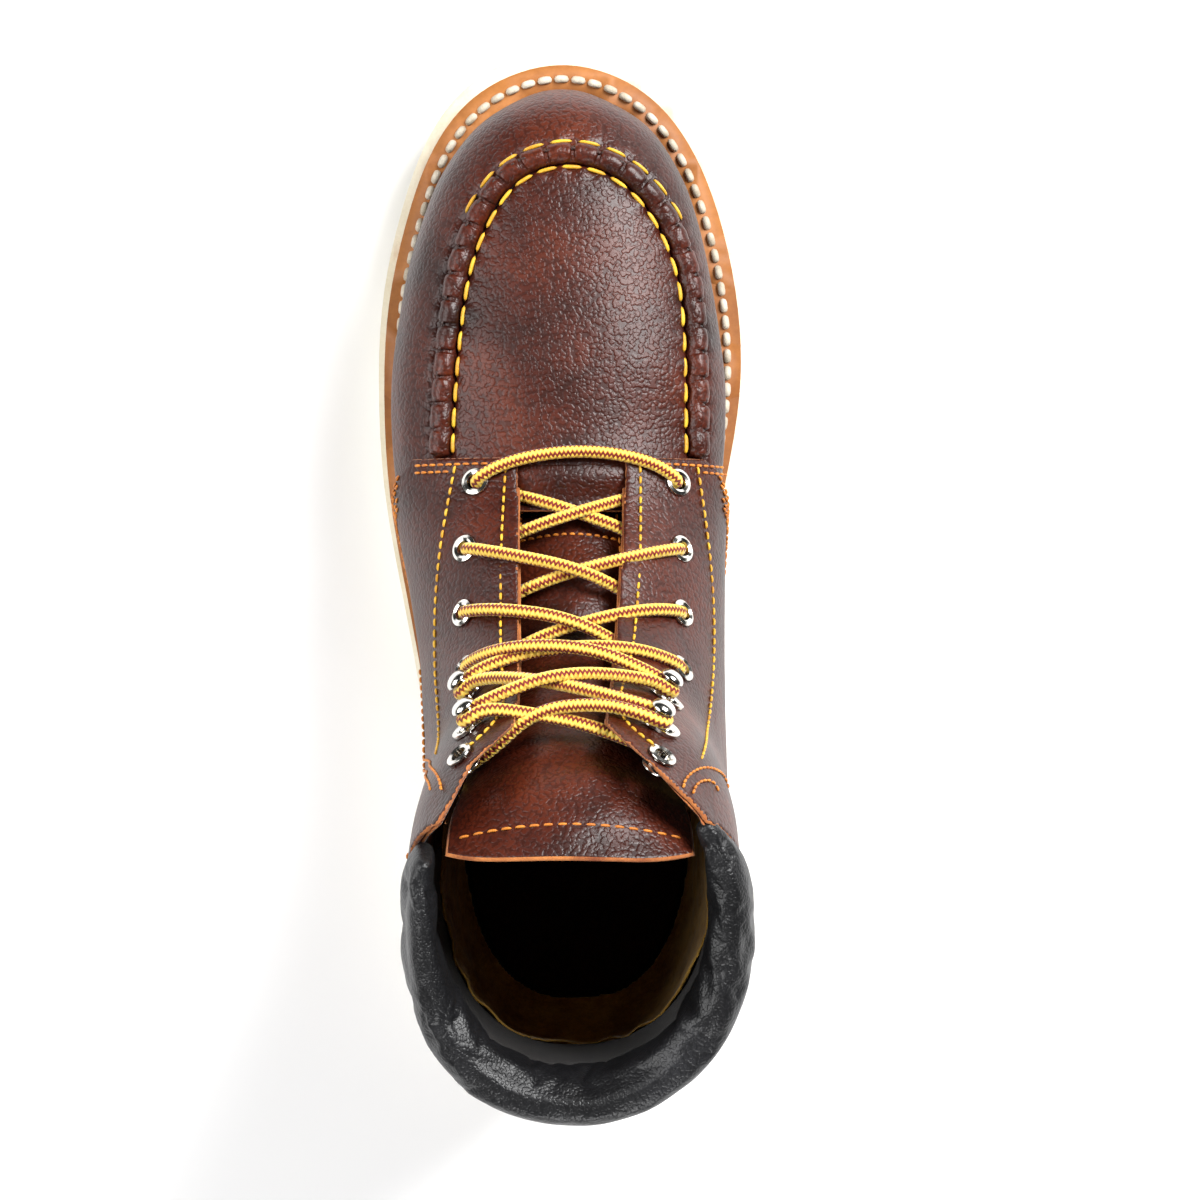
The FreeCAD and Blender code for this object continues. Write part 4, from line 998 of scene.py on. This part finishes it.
# rows in plan beside the lacing edges and outside the eyelets
GOLD_ROWS = [
    [(-15.6, 24), (-16.4, 0), (-16.2, -22), (-15.4, -38), (-15, -50), (-24, -60)],
    [(22.9, 24), (22.8, 0), (21.6, -22), (19.2, -38), (17, -50), (26, -59)],
    [(-30.2, 24), (-34, 0), (-35.5, -22), (-35, -40), (-33.5, -54), (-33, -62)],
    [(39.5, 24), (42.6, 0), (44, -22), (43.4, -40), (41.5, -54), (38.5, -63)],
]
FRONT_ROWS = [
    [(-42.5, 23.8), (-30, 24.0), (-15, 24.2)], [(22, 24.2), (35, 24.0), (47.5, 23.6)],
    [(-42.5, 21.6), (-37, 21.7), (-32, 21.8)], [(41, 21.8), (45, 21.6), (48.5, 21.4)],
]
# the quarters' lower front edge and their upper edge in the side view
FRONT_SIDE = np.array([(24, 62), (15, 52.5), (6, 45), (-6, 40), (-16, 36.5)])
TOP_SIDE = np.array([(-150, 138), (-130, 142), (-112, 147), (-96, 152), (-88, 158)])


def side_row(line, inner_side, pitch, depth):
    """Points and normals of a row given in the side view, each place read from a net of the
    form."""
    fine = curve_through(line, 60)
    middle = 0.0 if inner_side else 180.0
    places, turns = np.meshgrid(
        np.linspace(4, 15.9, 480), middle + np.linspace(-60, 75, 360) * (1 if inner_side else -1),
        indexing="ij",
    )
    net = form(places, turns)[..., 1:].reshape(-1, 2)
    nearest = ((net**2).sum(1)[None] - 2 * fine @ net.T).argmin(1)
    keep = np.linspace(0, 59, 7).astype(int)
    smooth_line = np.stack((places.ravel()[nearest], turns.ravel()[nearest]), -1)[keep]
    place, turn = curve_through(smooth_line, 160).T
    return row_at(place, turn, pitch, depth)


def arc_line(x, y, radius):
    """A plan arc, open toward the heel."""
    turn = np.radians(np.linspace(5, 175, 7))
    return list(zip(x + radius * np.cos(turn), y + radius * np.sin(turn)))


# share of its span that a stitch fills, the thread's radius and how far its ends sink
QUARTER_STITCH = (0.8, 0.42, 0.3)
GOLD_PITCH, FRONT_PITCH, ARC_PITCH, SIDE_PITCH = 3.3, 3.0, 2.6, 3.1
# centres and radii of the double arcs, and how far back and down the side rows lie
ARC_CENTRES = ((-37.0, -71.5), (39.5, -72.0))
ARC_RADII = (3.6, 6.8)
ROWS_BACK = (2.6, 5.4, 9.6, 12.4)
ROWS_DOWN = (3.5, 6.5)


def make_quarter_thread():
    """Gold rows beside and outside the lacing; orange rows along the front and lower edges, under
    the collar and in double arcs at the top corners."""
    depth = QUARTER_OUT - 0.3
    gold = [stitch_row(*form_row(line, GOLD_PITCH, depth), *QUARTER_STITCH) for line in GOLD_ROWS]
    thread = joined_rows("quarter_thread", gold, MATERIALS["thread_gold"])
    placed(thread, "boot", "thread_yellow", "quarter_stitching")
    rows = [form_row(line, FRONT_PITCH, depth) for line in FRONT_ROWS]
    for x, y in ARC_CENTRES:
        rows += [form_row(arc_line(x, y, radius), ARC_PITCH, depth) for radius in ARC_RADII]
    for inner_side in (False, True):
        for back in ROWS_BACK:
            rows.append(side_row(FRONT_SIDE - (back, 0.25 * back), inner_side, SIDE_PITCH, depth))
        for down in ROWS_DOWN:
            rows.append(side_row(TOP_SIDE - (0, down), inner_side, SIDE_PITCH, depth))
    orange = [stitch_row(points, normals, *QUARTER_STITCH) for points, normals in rows]
    thread = joined_rows("edge_thread", orange, MATERIALS["thread_orange"])
    placed(thread, "boot", "thread_yellow")


def make_quarters():
    """Both quarters, and the second layer whose raw edge shows beside the lacing gap."""
    for side in ("lateral", "medial"):
        name = "quarter_" + side
        leather_part(name, name + "_leather", "leather_upper", 0.95, None, 0.16)
        facing = "facing_" + side
        obj = soft_copy(facing, facing + "_edge", 0.55, [MATERIALS["edge"], MATERIALS["lining"]], 3)
        place, turn, _ = address(points_of(obj))
        inside = (facing_out(obj, place, turn) < -0.4).astype(np.int32)
        obj.data.polygons.foreach_set("material_index", inside)
        placed(obj, "boot", "leather_edge", facing)


def make_backstay():
    """The strip over the heel seam."""
    leather_part("backstay", "backstay_leather", "leather_upper", 0.8, None, 0.1)


def make_pull_tab():
    """The pull tab, its cut top edge left raw."""
    obj = soft_copy("pull_tab", "pull_tab_leather", 0.7, [MATERIALS["upper"], MATERIALS["edge"]], 3)
    height = face_means(obj, points_of(obj)[:, 2])
    raw = (height > height.max() - 1.6).astype(np.int32)
    obj.data.polygons.foreach_set("material_index", raw)
    placed(obj, "boot", "leather_upper", "pull_tab")


def make_heel_lining():
    """Suede heel lining, puckered where it was lasted: upright folds that fade downward."""
    obj = soft_copy("heel_lining", "suede_heel_lining", 1.0, [MATERIALS["suede"]], 3)
    points = points_of(obj)
    place, turn, _ = address(points)
    around = np.radians(turn)
    fold = np.sin(around * 17 + 2 * np.sin(around * 5)) * smooth((points[:, 2] - 45) / 45)
    lift = -0.55 * fold + 0.25 * crumple(points, 7.0)
    move_points(obj, points + form_normal(place, turn) * lift[:, None])
    placed(obj, "boot", "suede", "heel_lining")


# turns between which the collar runs, and the quarters' upper edge in the side view
COLLAR_ENDS = (156.0, 398.0)
TOP_EDGE = np.array([
    (-200, 132.5), (-155, 142), (-112, 151), (-96, 156), (-86, 163.5), (-79, 175),
])
RIM = 15.95


def edge_place(turn):
    """Where the form crosses the quarters' upper edge at each turn, by halving."""
    low, high = np.full(turn.shape, 13.0), np.full(turn.shape, RIM)
    for _ in range(30):
        middle = (low + high) / 2
        point = form(middle, turn)
        above = point[..., 2] > np.interp(point[..., 1], TOP_EDGE[:, 0], TOP_EDGE[:, 1])
        low, high = np.where(above, low, middle), np.where(above, middle, high)
    return low


def collar_grid(count, around):
    """Rings round the padded roll: each is a superellipse between the quarters' upper edge and the
    rim, thickest at the heel and thin at the two front ends."""
    t = np.linspace(0, 1, count)
    turn = COLLAR_ENDS[0] + 3 + (COLLAR_ENDS[1] - COLLAR_ENDS[0] - 6) * t
    swell = np.clip(np.sin(np.pi * t), 0, 1) ** 0.5
    half_thick = 1.9 + 3.5 * np.minimum(1.0, 1.25 * swell)
    bottom = form(np.minimum(edge_place(turn), RIM - 0.25), turn, 1.3)
    top = form(RIM, turn, 1.3)
    bottom[:, 2] -= 1.5
    up = top - bottom
    half_height = np.linalg.norm(up, axis=1) / 2
    up = unit(up)
    normal = form_normal(np.full(turn.shape, RIM - 0.6), turn)
    normal = unit(normal - up * (normal * up).sum(1, keepdims=True))
    centre = (top + bottom) / 2
    angle = np.linspace(0, 2 * np.pi, around, endpoint=False)
    c, s = np.cos(angle), np.sin(angle)
    across = np.sign(c) * np.abs(c) ** 0.8 * half_thick[:, None]
    along = np.sign(s) * np.abs(s) ** 0.8 * half_height[:, None]
    return centre[:, None] + normal[:, None] * across[..., None] + up[:, None] * along[..., None]


def make_collar():
    """The padded collar: its cover is blown out against its foam as cloth, held along its foot
    where it is sewn, then creased a little."""
    count, around = 150, 40
    rings = collar_grid(count, around)
    ends = rings[[0, -1]].mean(1)
    verts = np.concatenate((rings.reshape(-1, 3), ends))
    faces = grid_faces(count, around, close_columns=True).tolist()
    last = count * around
    for k in range(around):
        faces.append((last, (k + 1) % around, k))
        faces.append((last + 1, last - around + k, last - around + (k + 1) % around))
    obj = add_object("padded_collar", verts, faces, [MATERIALS["collar"]])
    orient(obj)
    before = points_of(obj)
    once = np.linspace(0, 2 * np.pi, around, endpoint=False)
    angle = np.concatenate((np.tile(once, count), [0, 0]))
    ring = np.concatenate((np.repeat(np.arange(count), around), [0, count]))
    held = (np.sin(angle) < -0.8) | (ring < 3) | (ring > count - 4)
    puff(obj, before, np.nonzero(held)[0])
    subdivide(obj)
    rest = points_of(obj)
    lift = COLLAR_OVER + 0.18 * crumple(rest, 7.0)
    move_points(obj, rest + normals_of(obj) * lift[:, None])
    placed(obj, "boot", "leather_black", "collar_cover")


def puff(obj, before, held_points):
    """A short cloth simulation under pressure; no point ends more than a set way from its start."""
    held = obj.vertex_groups.new(name="held")
    held.add(held_points.tolist(), 1.0, "REPLACE")
    cloth = obj.modifiers.new("puff", "CLOTH")
    cloth.settings.quality = 6
    cloth.settings.mass = 0.15
    cloth.settings.use_pressure = True
    cloth.settings.uniform_pressure_force = 4.0
    cloth.settings.shrink_min = -0.03
    cloth.settings.vertex_group_mass = "held"
    cloth.settings.effector_weights.gravity = 0.0
    cloth.settings.tension_stiffness = cloth.settings.compression_stiffness = 25
    cloth.settings.bending_stiffness = 0.4
    cloth.collision_settings.use_self_collision = False
    cloth.point_cache.frame_start, cloth.point_cache.frame_end = 1, PUFF_FRAMES
    for number in range(1, PUFF_FRAMES + 1):
        bpy.context.scene.frame_set(number)
    graph = bpy.context.evaluated_depsgraph_get()
    after = points_of(obj.evaluated_get(graph))
    obj.modifiers.clear()
    obj.vertex_groups.clear()
    bpy.context.scene.frame_set(1)
    shift = after - before
    length = np.maximum(np.linalg.norm(shift, axis=1, keepdims=True), 1e-9)
    move_points(obj, before + shift * np.minimum(1, PUFF_REACH / length))


# the tongue's centre line: y, z, half breadth and how far its edges drop
TONGUE = np.array([
    (17.5, 75.2, 17.0, 3.0), (8, 79.2, 20.0, 5.4), (-8, 91.0, 22.0, 9.2),
    (-21.9, 100.2, 23.5, 12.4), (-33.6, 110.7, 25.0, 14.6), (-44.2, 126.0, 27.0, 17.2),
    (-50.8, 141.5, 29.0, 16.0), (-58.4, 156.5, 31.0, 15.2), (-69, 170.5, 33.0, 13.0),
    (-87.5, 182.5, 34.0, 6.5),
])
TONGUE_X = 3.6


def tongue_at(along, across, lift=0.0):
    """Points of the tongue. along counts the rows of its table and across runs from -1 to 1; each
    cross-section is a parabola that drops away from the centre line."""
    along, across, lift = np.broadcast_arrays(along, across, lift)
    bend = spline_bend(TONGUE)
    y, z, half, drop = np.moveaxis(spline_at(TONGUE, bend, along), -1, 0)
    ahead = spline_at(TONGUE, bend, along + 0.01)
    behind = spline_at(TONGUE, bend, along - 0.01)
    run = unit((ahead - behind)[..., :2])
    out_y, out_z = -run[..., 1], run[..., 0]
    flip = np.sign(out_z + 1e-6)
    fall = lift - drop * across**2
    return np.stack(
        (TONGUE_X + across * half, y + out_y * flip * fall, z + out_z * flip * fall), -1
    )


def make_tongue():
    """The tongue: creased across where it bends, its top corners rounded and its cut edge raw."""
    t, s = np.meshgrid(np.linspace(0, 1, 260), np.linspace(-1, 1, 110), indexing="ij")
    along = t * (8.97 - 0.22 * s**4)
    flat = tongue_at(along, s)
    crease = np.sin(along * 5.3 + 1.1 * np.sin(3.1 * s)) * np.sin(along * 2.2 + 2 * s + 1)
    lift = 0.4 * crease * smooth((along - 1) / 2) * (1 - s**4)
    lift = lift + 0.25 * crumple(flat.reshape(-1, 3), 9).reshape(s.shape)
    outer = tongue_at(along, s, lift)
    inner = tongue_at(along, s, lift - 1.9)
    obj = panel("tongue_leather", outer, inner, [MATERIALS["upper"], MATERIALS["edge"]], 0.8)
    placed(obj, "tongue", "leather_upper", "tongue")
    rows = []
    for row_along, reach in ((8.55, 0.93), (0.4, 0.9), (1.35, 0.9)):
        line = np.linspace(-reach, reach, int(68 * reach / 4.2) + 2)
        rows.append((np.full(line.shape, row_along), line))
    for row_across in (-0.78, 0.68):
        line = np.linspace(0.5, 6.5, 40)
        rows.append((line, np.full(line.shape, row_across)))
    stitches = []
    for row_along, row_across in rows:
        points = tongue_at(row_along, row_across, 0.3)
        normals = unit(tongue_at(row_along, row_across, 1.3) - points)
        stitches.append(stitch_row(points, normals, 0.78, 0.42, 0.35))
    thread = joined_rows("tongue_thread", stitches, MATERIALS["thread_orange"])
    placed(thread, "tongue", "thread_yellow")


# the lace's route in mm, from one hidden end to the other
LACE = [
    (-31.9, -71.1, 101.8), (-31.5, -71.1, 118.2), (-29.9, -68.3, 136.9), (-25.5, -63.8, 149.1),
    (-18.8, -59.1, 155.5), (-5.9, -47.4, 157.3), (11.6, -45.6, 159.3), (23.4, -48.2, 165.2),
    (30.5, -51.6, 163.6), (30.5, -48.9, 158.0), (23.4, -45.6, 159.6), (-4.1, -39.2, 146.5),
    (-23.6, -38.8, 126.8), (-28.7, -44.6, 124.5), (-28.7, -42.3, 118.7), (-23.6, -36.5, 121.0),
    (-5.0, -30.7, 125.2), (20.0, -29.8, 121.1), (37.6, -36.0, 108.4), (31.7, -39.6, 104.9),
    (19.1, -30.3, 108.8), (3.0, -21.9, 112.8), (-16.8, -19.3, 107.4), (-30.2, -20.1, 96.1),
    (-24.6, -22.3, 91.3), (-12.2, -14.3, 96.8), (2.9, -8.5, 98.5), (23.7, -3.4, 96.8),
    (37.6, -1.0, 85.4), (32.4, -3.3, 80.2), (20.3, 4.0, 84.9), (7.0, 8.8, 84.4),
    (-6.7, 13.2, 82.7), (-23.5, 16.8, 76.4), (-26.2, 19.2, 83.2), (-14.1, 25.4, 84.6),
    (6.7, 28.3, 84.2), (26.1, 25.4, 81.2), (36.5, 19.1, 77.6), (32.3, 17.1, 71.4),
    (17.0, 12.9, 80.9), (3.2, 8.8, 88.3), (-11.4, 3.8, 87.4), (-25.1, -3.1, 84.0),
    (-29.5, -1.0, 89.9), (-14.7, -3.3, 99.1), (5.4, -7.4, 102.1), (19.9, -14.5, 95.8),
    (32.2, -22.8, 90.2), (37.9, -20.0, 94.7), (24.5, -19.3, 106.7), (4.0, -23.9, 109.4),
    (-11.4, -30.1, 108.6), (-23.3, -39.3, 104.3), (-29.3, -36.1, 108.0), (-15.7, -29.9, 125.0),
    (8.4, -29.9, 132.7), (26.2, -37.3, 134.4), (32.8, -41.9, 133.1), (32.8, -43.5, 139.1),
    (26.2, -38.9, 140.3), (1.1, -36.7, 151.0), (-20.3, -44.7, 152.0), (-26.7, -49.3, 150.3),
    (-26.7, -51.5, 156.1), (-20.3, -46.9, 157.8), (-9.1, -48.4, 156.6), (6.6, -51.0, 157.2),
    (26.9, -58.5, 155.7), (34.5, -63.3, 149.3), (39.2, -67.7, 137.1), (41.2, -71.1, 118.2),
    (41.7, -71.1, 101.8),
]


def make_lace():
    """The round lace, whole, on one smooth curve through its route."""
    data = bpy.data.curves.new("lace_line", "CURVE")
    data.dimensions = "3D"
    spline = data.splines.new("NURBS")
    spline.points.add(len(LACE) - 1)
    for point, place in zip(spline.points, LACE):
        point.co = (*(c * MM for c in place), 1.0)
    spline.order_u = 3
    spline.use_endpoint_u = True
    spline.resolution_u = 24
    line = bpy.data.objects.new("lace_line", data)
    bpy.context.scene.collection.objects.link(line)
    mesh = bpy.data.meshes.new_from_object(line)
    flat = np.zeros(len(mesh.vertices) * 3)
    mesh.vertices.foreach_get("co", flat)
    path = flat.reshape(-1, 3) / MM
    bpy.data.objects.remove(line)
    run = run_along(path)
    marks = np.arange(0, run[-1], 0.8)
    path = np.stack([np.interp(marks, run, path[:, k]) for k in range(3)], -1)
    radius = bpy.context.scene.boot.lace_thickness / MM / 2
    lace = tube("lace_cord", path, radius, [MATERIALS["lace"]], 16)
    placed(lace, "boot", "lace_cord", "lace")


# ---------------------------------------------------------------- stage


def area_light(name, place, target, energy, extent, colour=(1, 1, 1)):
    """A soft square light that points at a target."""
    data = bpy.data.lights.new(name, "AREA")
    data.energy = energy
    data.size = extent
    data.color = colour
    light = bpy.data.objects.new(name, data)
    light.location = place
    aim = Vector(target) - Vector(place)
    light.rotation_euler = aim.to_track_quat("-Z", "Y").to_euler()
    bpy.context.scene.collection.objects.link(light)


# the camera's place in metres and its lens in millimetres
CAMERA_PLACE = (0.0119, -0.0168, 1.25)
CAMERA_LENS = 117.1


def make_camera():
    """Straight down, with the toe at the top of the view."""
    data = bpy.data.cameras.new("camera")
    data.sensor_width = 36.0
    data.lens = CAMERA_LENS
    data.clip_end = 10
    camera = bpy.data.objects.new("camera", data)
    camera.location = CAMERA_PLACE
    bpy.context.scene.collection.objects.link(camera)
    bpy.context.scene.camera = camera


def make_floor():
    """A plain pale floor."""
    material, _, principled = new_material("pale floor", Roughness=0.9)
    principled.inputs["Base Color"].default_value = grey(0.86)
    floor = add_object(
        "floor",
        [(-3000, -3000, -0.2), (3000, -3000, -0.2), (3000, 3000, -0.2), (-3000, 3000, -0.2)],
        [(0, 1, 2, 3)], [material],
    )


def make_lights():
    """A key from the upper right, weak fills, and a dim white surround."""
    area_light("key", (0.7, 0.65, 0.95), (0, 0, 0.08), 34, 0.6)
    area_light("fill", (-0.9, 0.1, 0.9), (0, 0, 0.1), 16, 0.9)
    area_light("back", (0.1, -1.2, 0.7), (0, 0, 0.1), 12, 0.6)
    world = bpy.data.worlds.new("studio")
    bpy.context.scene.world = world
    world.use_nodes = True
    tree = world.node_tree
    toward = add(tree, "ShaderNodeTexCoord").outputs["Generated"]
    split = add(tree, "ShaderNodeSeparateXYZ", None, {"Vector": toward})
    shade = add(
        tree, "ShaderNodeMapRange",
        {"From Min": 0.2, "From Max": 0.9, "To Min": 0.75, "To Max": 0.06},
        {"Value": split.outputs["Z"]},
    )
    tree.links.new(shade.outputs["Result"], tree.nodes["Background"].inputs["Strength"])
    bpy.context.scene.view_settings.view_transform = "Standard"


# ---------------------------------------------------------------- the add-on


class BOOT_PG_settings(bpy.types.PropertyGroup):
    """Sizes and colours of the boot that a user would change"""

    lace_thickness: bpy.props.FloatProperty(
        name="Lace thickness", description="Across the round lace",
        default=3.8 * MM, min=MM, max=8 * MM, unit="LENGTH", precision=4,
    )
    pleat_pitch: bpy.props.FloatProperty(
        name="Pleat pitch", description="From one slit of the gathered seam to the next",
        default=7.8 * MM, min=2 * MM, max=20 * MM, unit="LENGTH", precision=4,
    )
    leather_colour: bpy.props.FloatVectorProperty(
        name="Leather colour", description="Body colour of the oiled leather",
        default=linear("431608"), size=4, min=0, max=1, subtype="COLOR",
    )
    sole_colour: bpy.props.FloatVectorProperty(
        name="Sole colour", description="Lighter colour of the crepe sole",
        default=linear("f2ebd6"), size=4, min=0, max=1, subtype="COLOR",
    )
    collar_colour: bpy.props.FloatVectorProperty(
        name="Collar colour", description="Body colour of the padded collar",
        default=linear("18181a"), size=4, min=0, max=1, subtype="COLOR",
    )
    thread_colour: bpy.props.FloatVectorProperty(
        name="Thread colour", description="Lighter colour of the gold thread",
        default=linear("f4c430"), size=4, min=0, max=1, subtype="COLOR",
    )
    metal_colour: bpy.props.FloatVectorProperty(
        name="Metal colour", description="Colour of the eyelets and hooks",
        default=linear("d6d3cc"), size=4, min=0, max=1, subtype="COLOR",
    )


class BOOT_OT_stage(bpy.types.Operator):
    """Camera, floor and lights"""

    bl_idname = "boot.stage"
    bl_label = "Stage"

    def execute(self, context):
        make_camera()
        make_floor()
        make_lights()
        return {"FINISHED"}


class BOOT_OT_finishes(bpy.types.Operator):
    """Every finish of the boot, to be made before its pieces"""

    bl_idname = "boot.finishes"
    bl_label = "Finishes"

    def execute(self, context):
        make_materials()
        return {"FINISHED"}


class BOOT_OT_lace(bpy.types.Operator):
    """The round braided lace, whole"""

    bl_idname = "boot.lace"
    bl_label = "Lace"

    def execute(self, context):
        make_lace()
        return {"FINISHED"}


class BOOT_OT_collar(bpy.types.Operator):
    """The black leather roll round the shaft's rim"""

    bl_idname = "boot.collar"
    bl_label = "Padded collar"

    def execute(self, context):
        make_collar()
        return {"FINISHED"}


class BOOT_OT_plain(bpy.types.Operator):
    """The pieces whose own shape is right, joined and finished"""

    bl_idname = "boot.plain"
    bl_label = "Soles, linings and fittings"

    def execute(self, context):
        make_plain_parts()
        return {"FINISHED"}


class BOOT_OT_vamp(bpy.types.Operator):
    """The wall of the forefoot"""

    bl_idname = "boot.vamp"
    bl_label = "Vamp"

    def execute(self, context):
        make_vamp()
        return {"FINISHED"}


class BOOT_OT_plug(bpy.types.Operator):
    """The top panel inside the gathered seam"""

    bl_idname = "boot.plug"
    bl_label = "Apron"

    def execute(self, context):
        make_plug()
        return {"FINISHED"}


class BOOT_OT_seam(bpy.types.Operator):
    """The pleated bead round the apron"""

    bl_idname = "boot.seam"
    bl_label = "Gathered seam"

    def execute(self, context):
        make_seam()
        return {"FINISHED"}


class BOOT_OT_quarters(bpy.types.Operator):
    """The two sides, with the layer behind their lacing edges"""

    bl_idname = "boot.quarters"
    bl_label = "Quarters"

    def execute(self, context):
        make_quarters()
        return {"FINISHED"}


class BOOT_OT_backstay(bpy.types.Operator):
    """The strip down the heel"""

    bl_idname = "boot.backstay"
    bl_label = "Backstay"

    def execute(self, context):
        make_backstay()
        return {"FINISHED"}


class BOOT_OT_pull_tab(bpy.types.Operator):
    """The leather loop at the heel"""

    bl_idname = "boot.pull_tab"
    bl_label = "Pull tab"

    def execute(self, context):
        make_pull_tab()
        return {"FINISHED"}


class BOOT_OT_heel_lining(bpy.types.Operator):
    """The suede inside the heel"""

    bl_idname = "boot.heel_lining"
    bl_label = "Heel lining"

    def execute(self, context):
        make_heel_lining()
        return {"FINISHED"}


class BOOT_OT_welt_thread(bpy.types.Operator):
    """The heavy lock stitches round the welt"""

    bl_idname = "boot.welt_thread"
    bl_label = "Welt thread"

    def execute(self, context):
        make_welt_thread()
        return {"FINISHED"}


class BOOT_OT_moc_thread(bpy.types.Operator):
    """The stitches along the gathered seam"""

    bl_idname = "boot.moc_thread"
    bl_label = "Seam thread"

    def execute(self, context):
        make_moc_thread()
        return {"FINISHED"}


class BOOT_OT_quarter_thread(bpy.types.Operator):
    """The gold and orange rows on the quarters"""

    bl_idname = "boot.quarter_thread"
    bl_label = "Quarter thread"

    def execute(self, context):
        make_quarter_thread()
        return {"FINISHED"}


class BOOT_OT_tongue(bpy.types.Operator):
    """The tongue and its stitching"""

    bl_idname = "boot.tongue"
    bl_label = "Tongue"

    def execute(self, context):
        make_tongue()
        return {"FINISHED"}


# in making order
OPERATORS = [
    BOOT_OT_stage,
    BOOT_OT_finishes,
    BOOT_OT_lace,
    BOOT_OT_collar,
    BOOT_OT_plain,
    BOOT_OT_vamp,
    BOOT_OT_plug,
    BOOT_OT_seam,
    BOOT_OT_quarters,
    BOOT_OT_backstay,
    BOOT_OT_pull_tab,
    BOOT_OT_heel_lining,
    BOOT_OT_welt_thread,
    BOOT_OT_moc_thread,
    BOOT_OT_quarter_thread,
    BOOT_OT_tongue,
]


class BOOT_PT_panel(bpy.types.Panel):
    """Lists the boot's settings, and its pieces in making order"""

    bl_label = "Work boot"
    bl_idname = "BOOT_PT_panel"
    bl_space_type = "VIEW_3D"
    bl_region_type = "UI"
    bl_category = "Boot"

    def draw(self, context):
        chosen = context.scene.boot
        for key in chosen.bl_rna.properties.keys():
            if key not in ("rna_type", "name"):
                self.layout.prop(chosen, key)
        for item in OPERATORS:
            self.layout.operator(item.bl_idname)


CLASSES = [BOOT_PG_settings, *OPERATORS, BOOT_PT_panel]


def register():
    """Registers the classes and gives each scene its settings."""
    for item in CLASSES:
        bpy.utils.register_class(item)
    bpy.types.Scene.boot = bpy.props.PointerProperty(type=BOOT_PG_settings)


def unregister():
    """Undoes register, last first."""
    del bpy.types.Scene.boot
    for item in reversed(CLASSES):
        bpy.utils.unregister_class(item)


def main():
    """Makes the boot."""
    register()
    bpy.ops.boot.stage()
    bpy.ops.boot.finishes()
    bpy.ops.boot.lace()
    bpy.ops.boot.collar()
    bpy.ops.boot.plain()
    bpy.ops.boot.vamp()
    bpy.ops.boot.plug()
    bpy.ops.boot.seam()
    bpy.ops.boot.quarters()
    bpy.ops.boot.backstay()
    bpy.ops.boot.pull_tab()
    bpy.ops.boot.heel_lining()
    bpy.ops.boot.welt_thread()
    bpy.ops.boot.moc_thread()
    bpy.ops.boot.quarter_thread()
    bpy.ops.boot.tongue()
    bpy.context.view_layer.update()


if __name__ == "__main__":
    main()
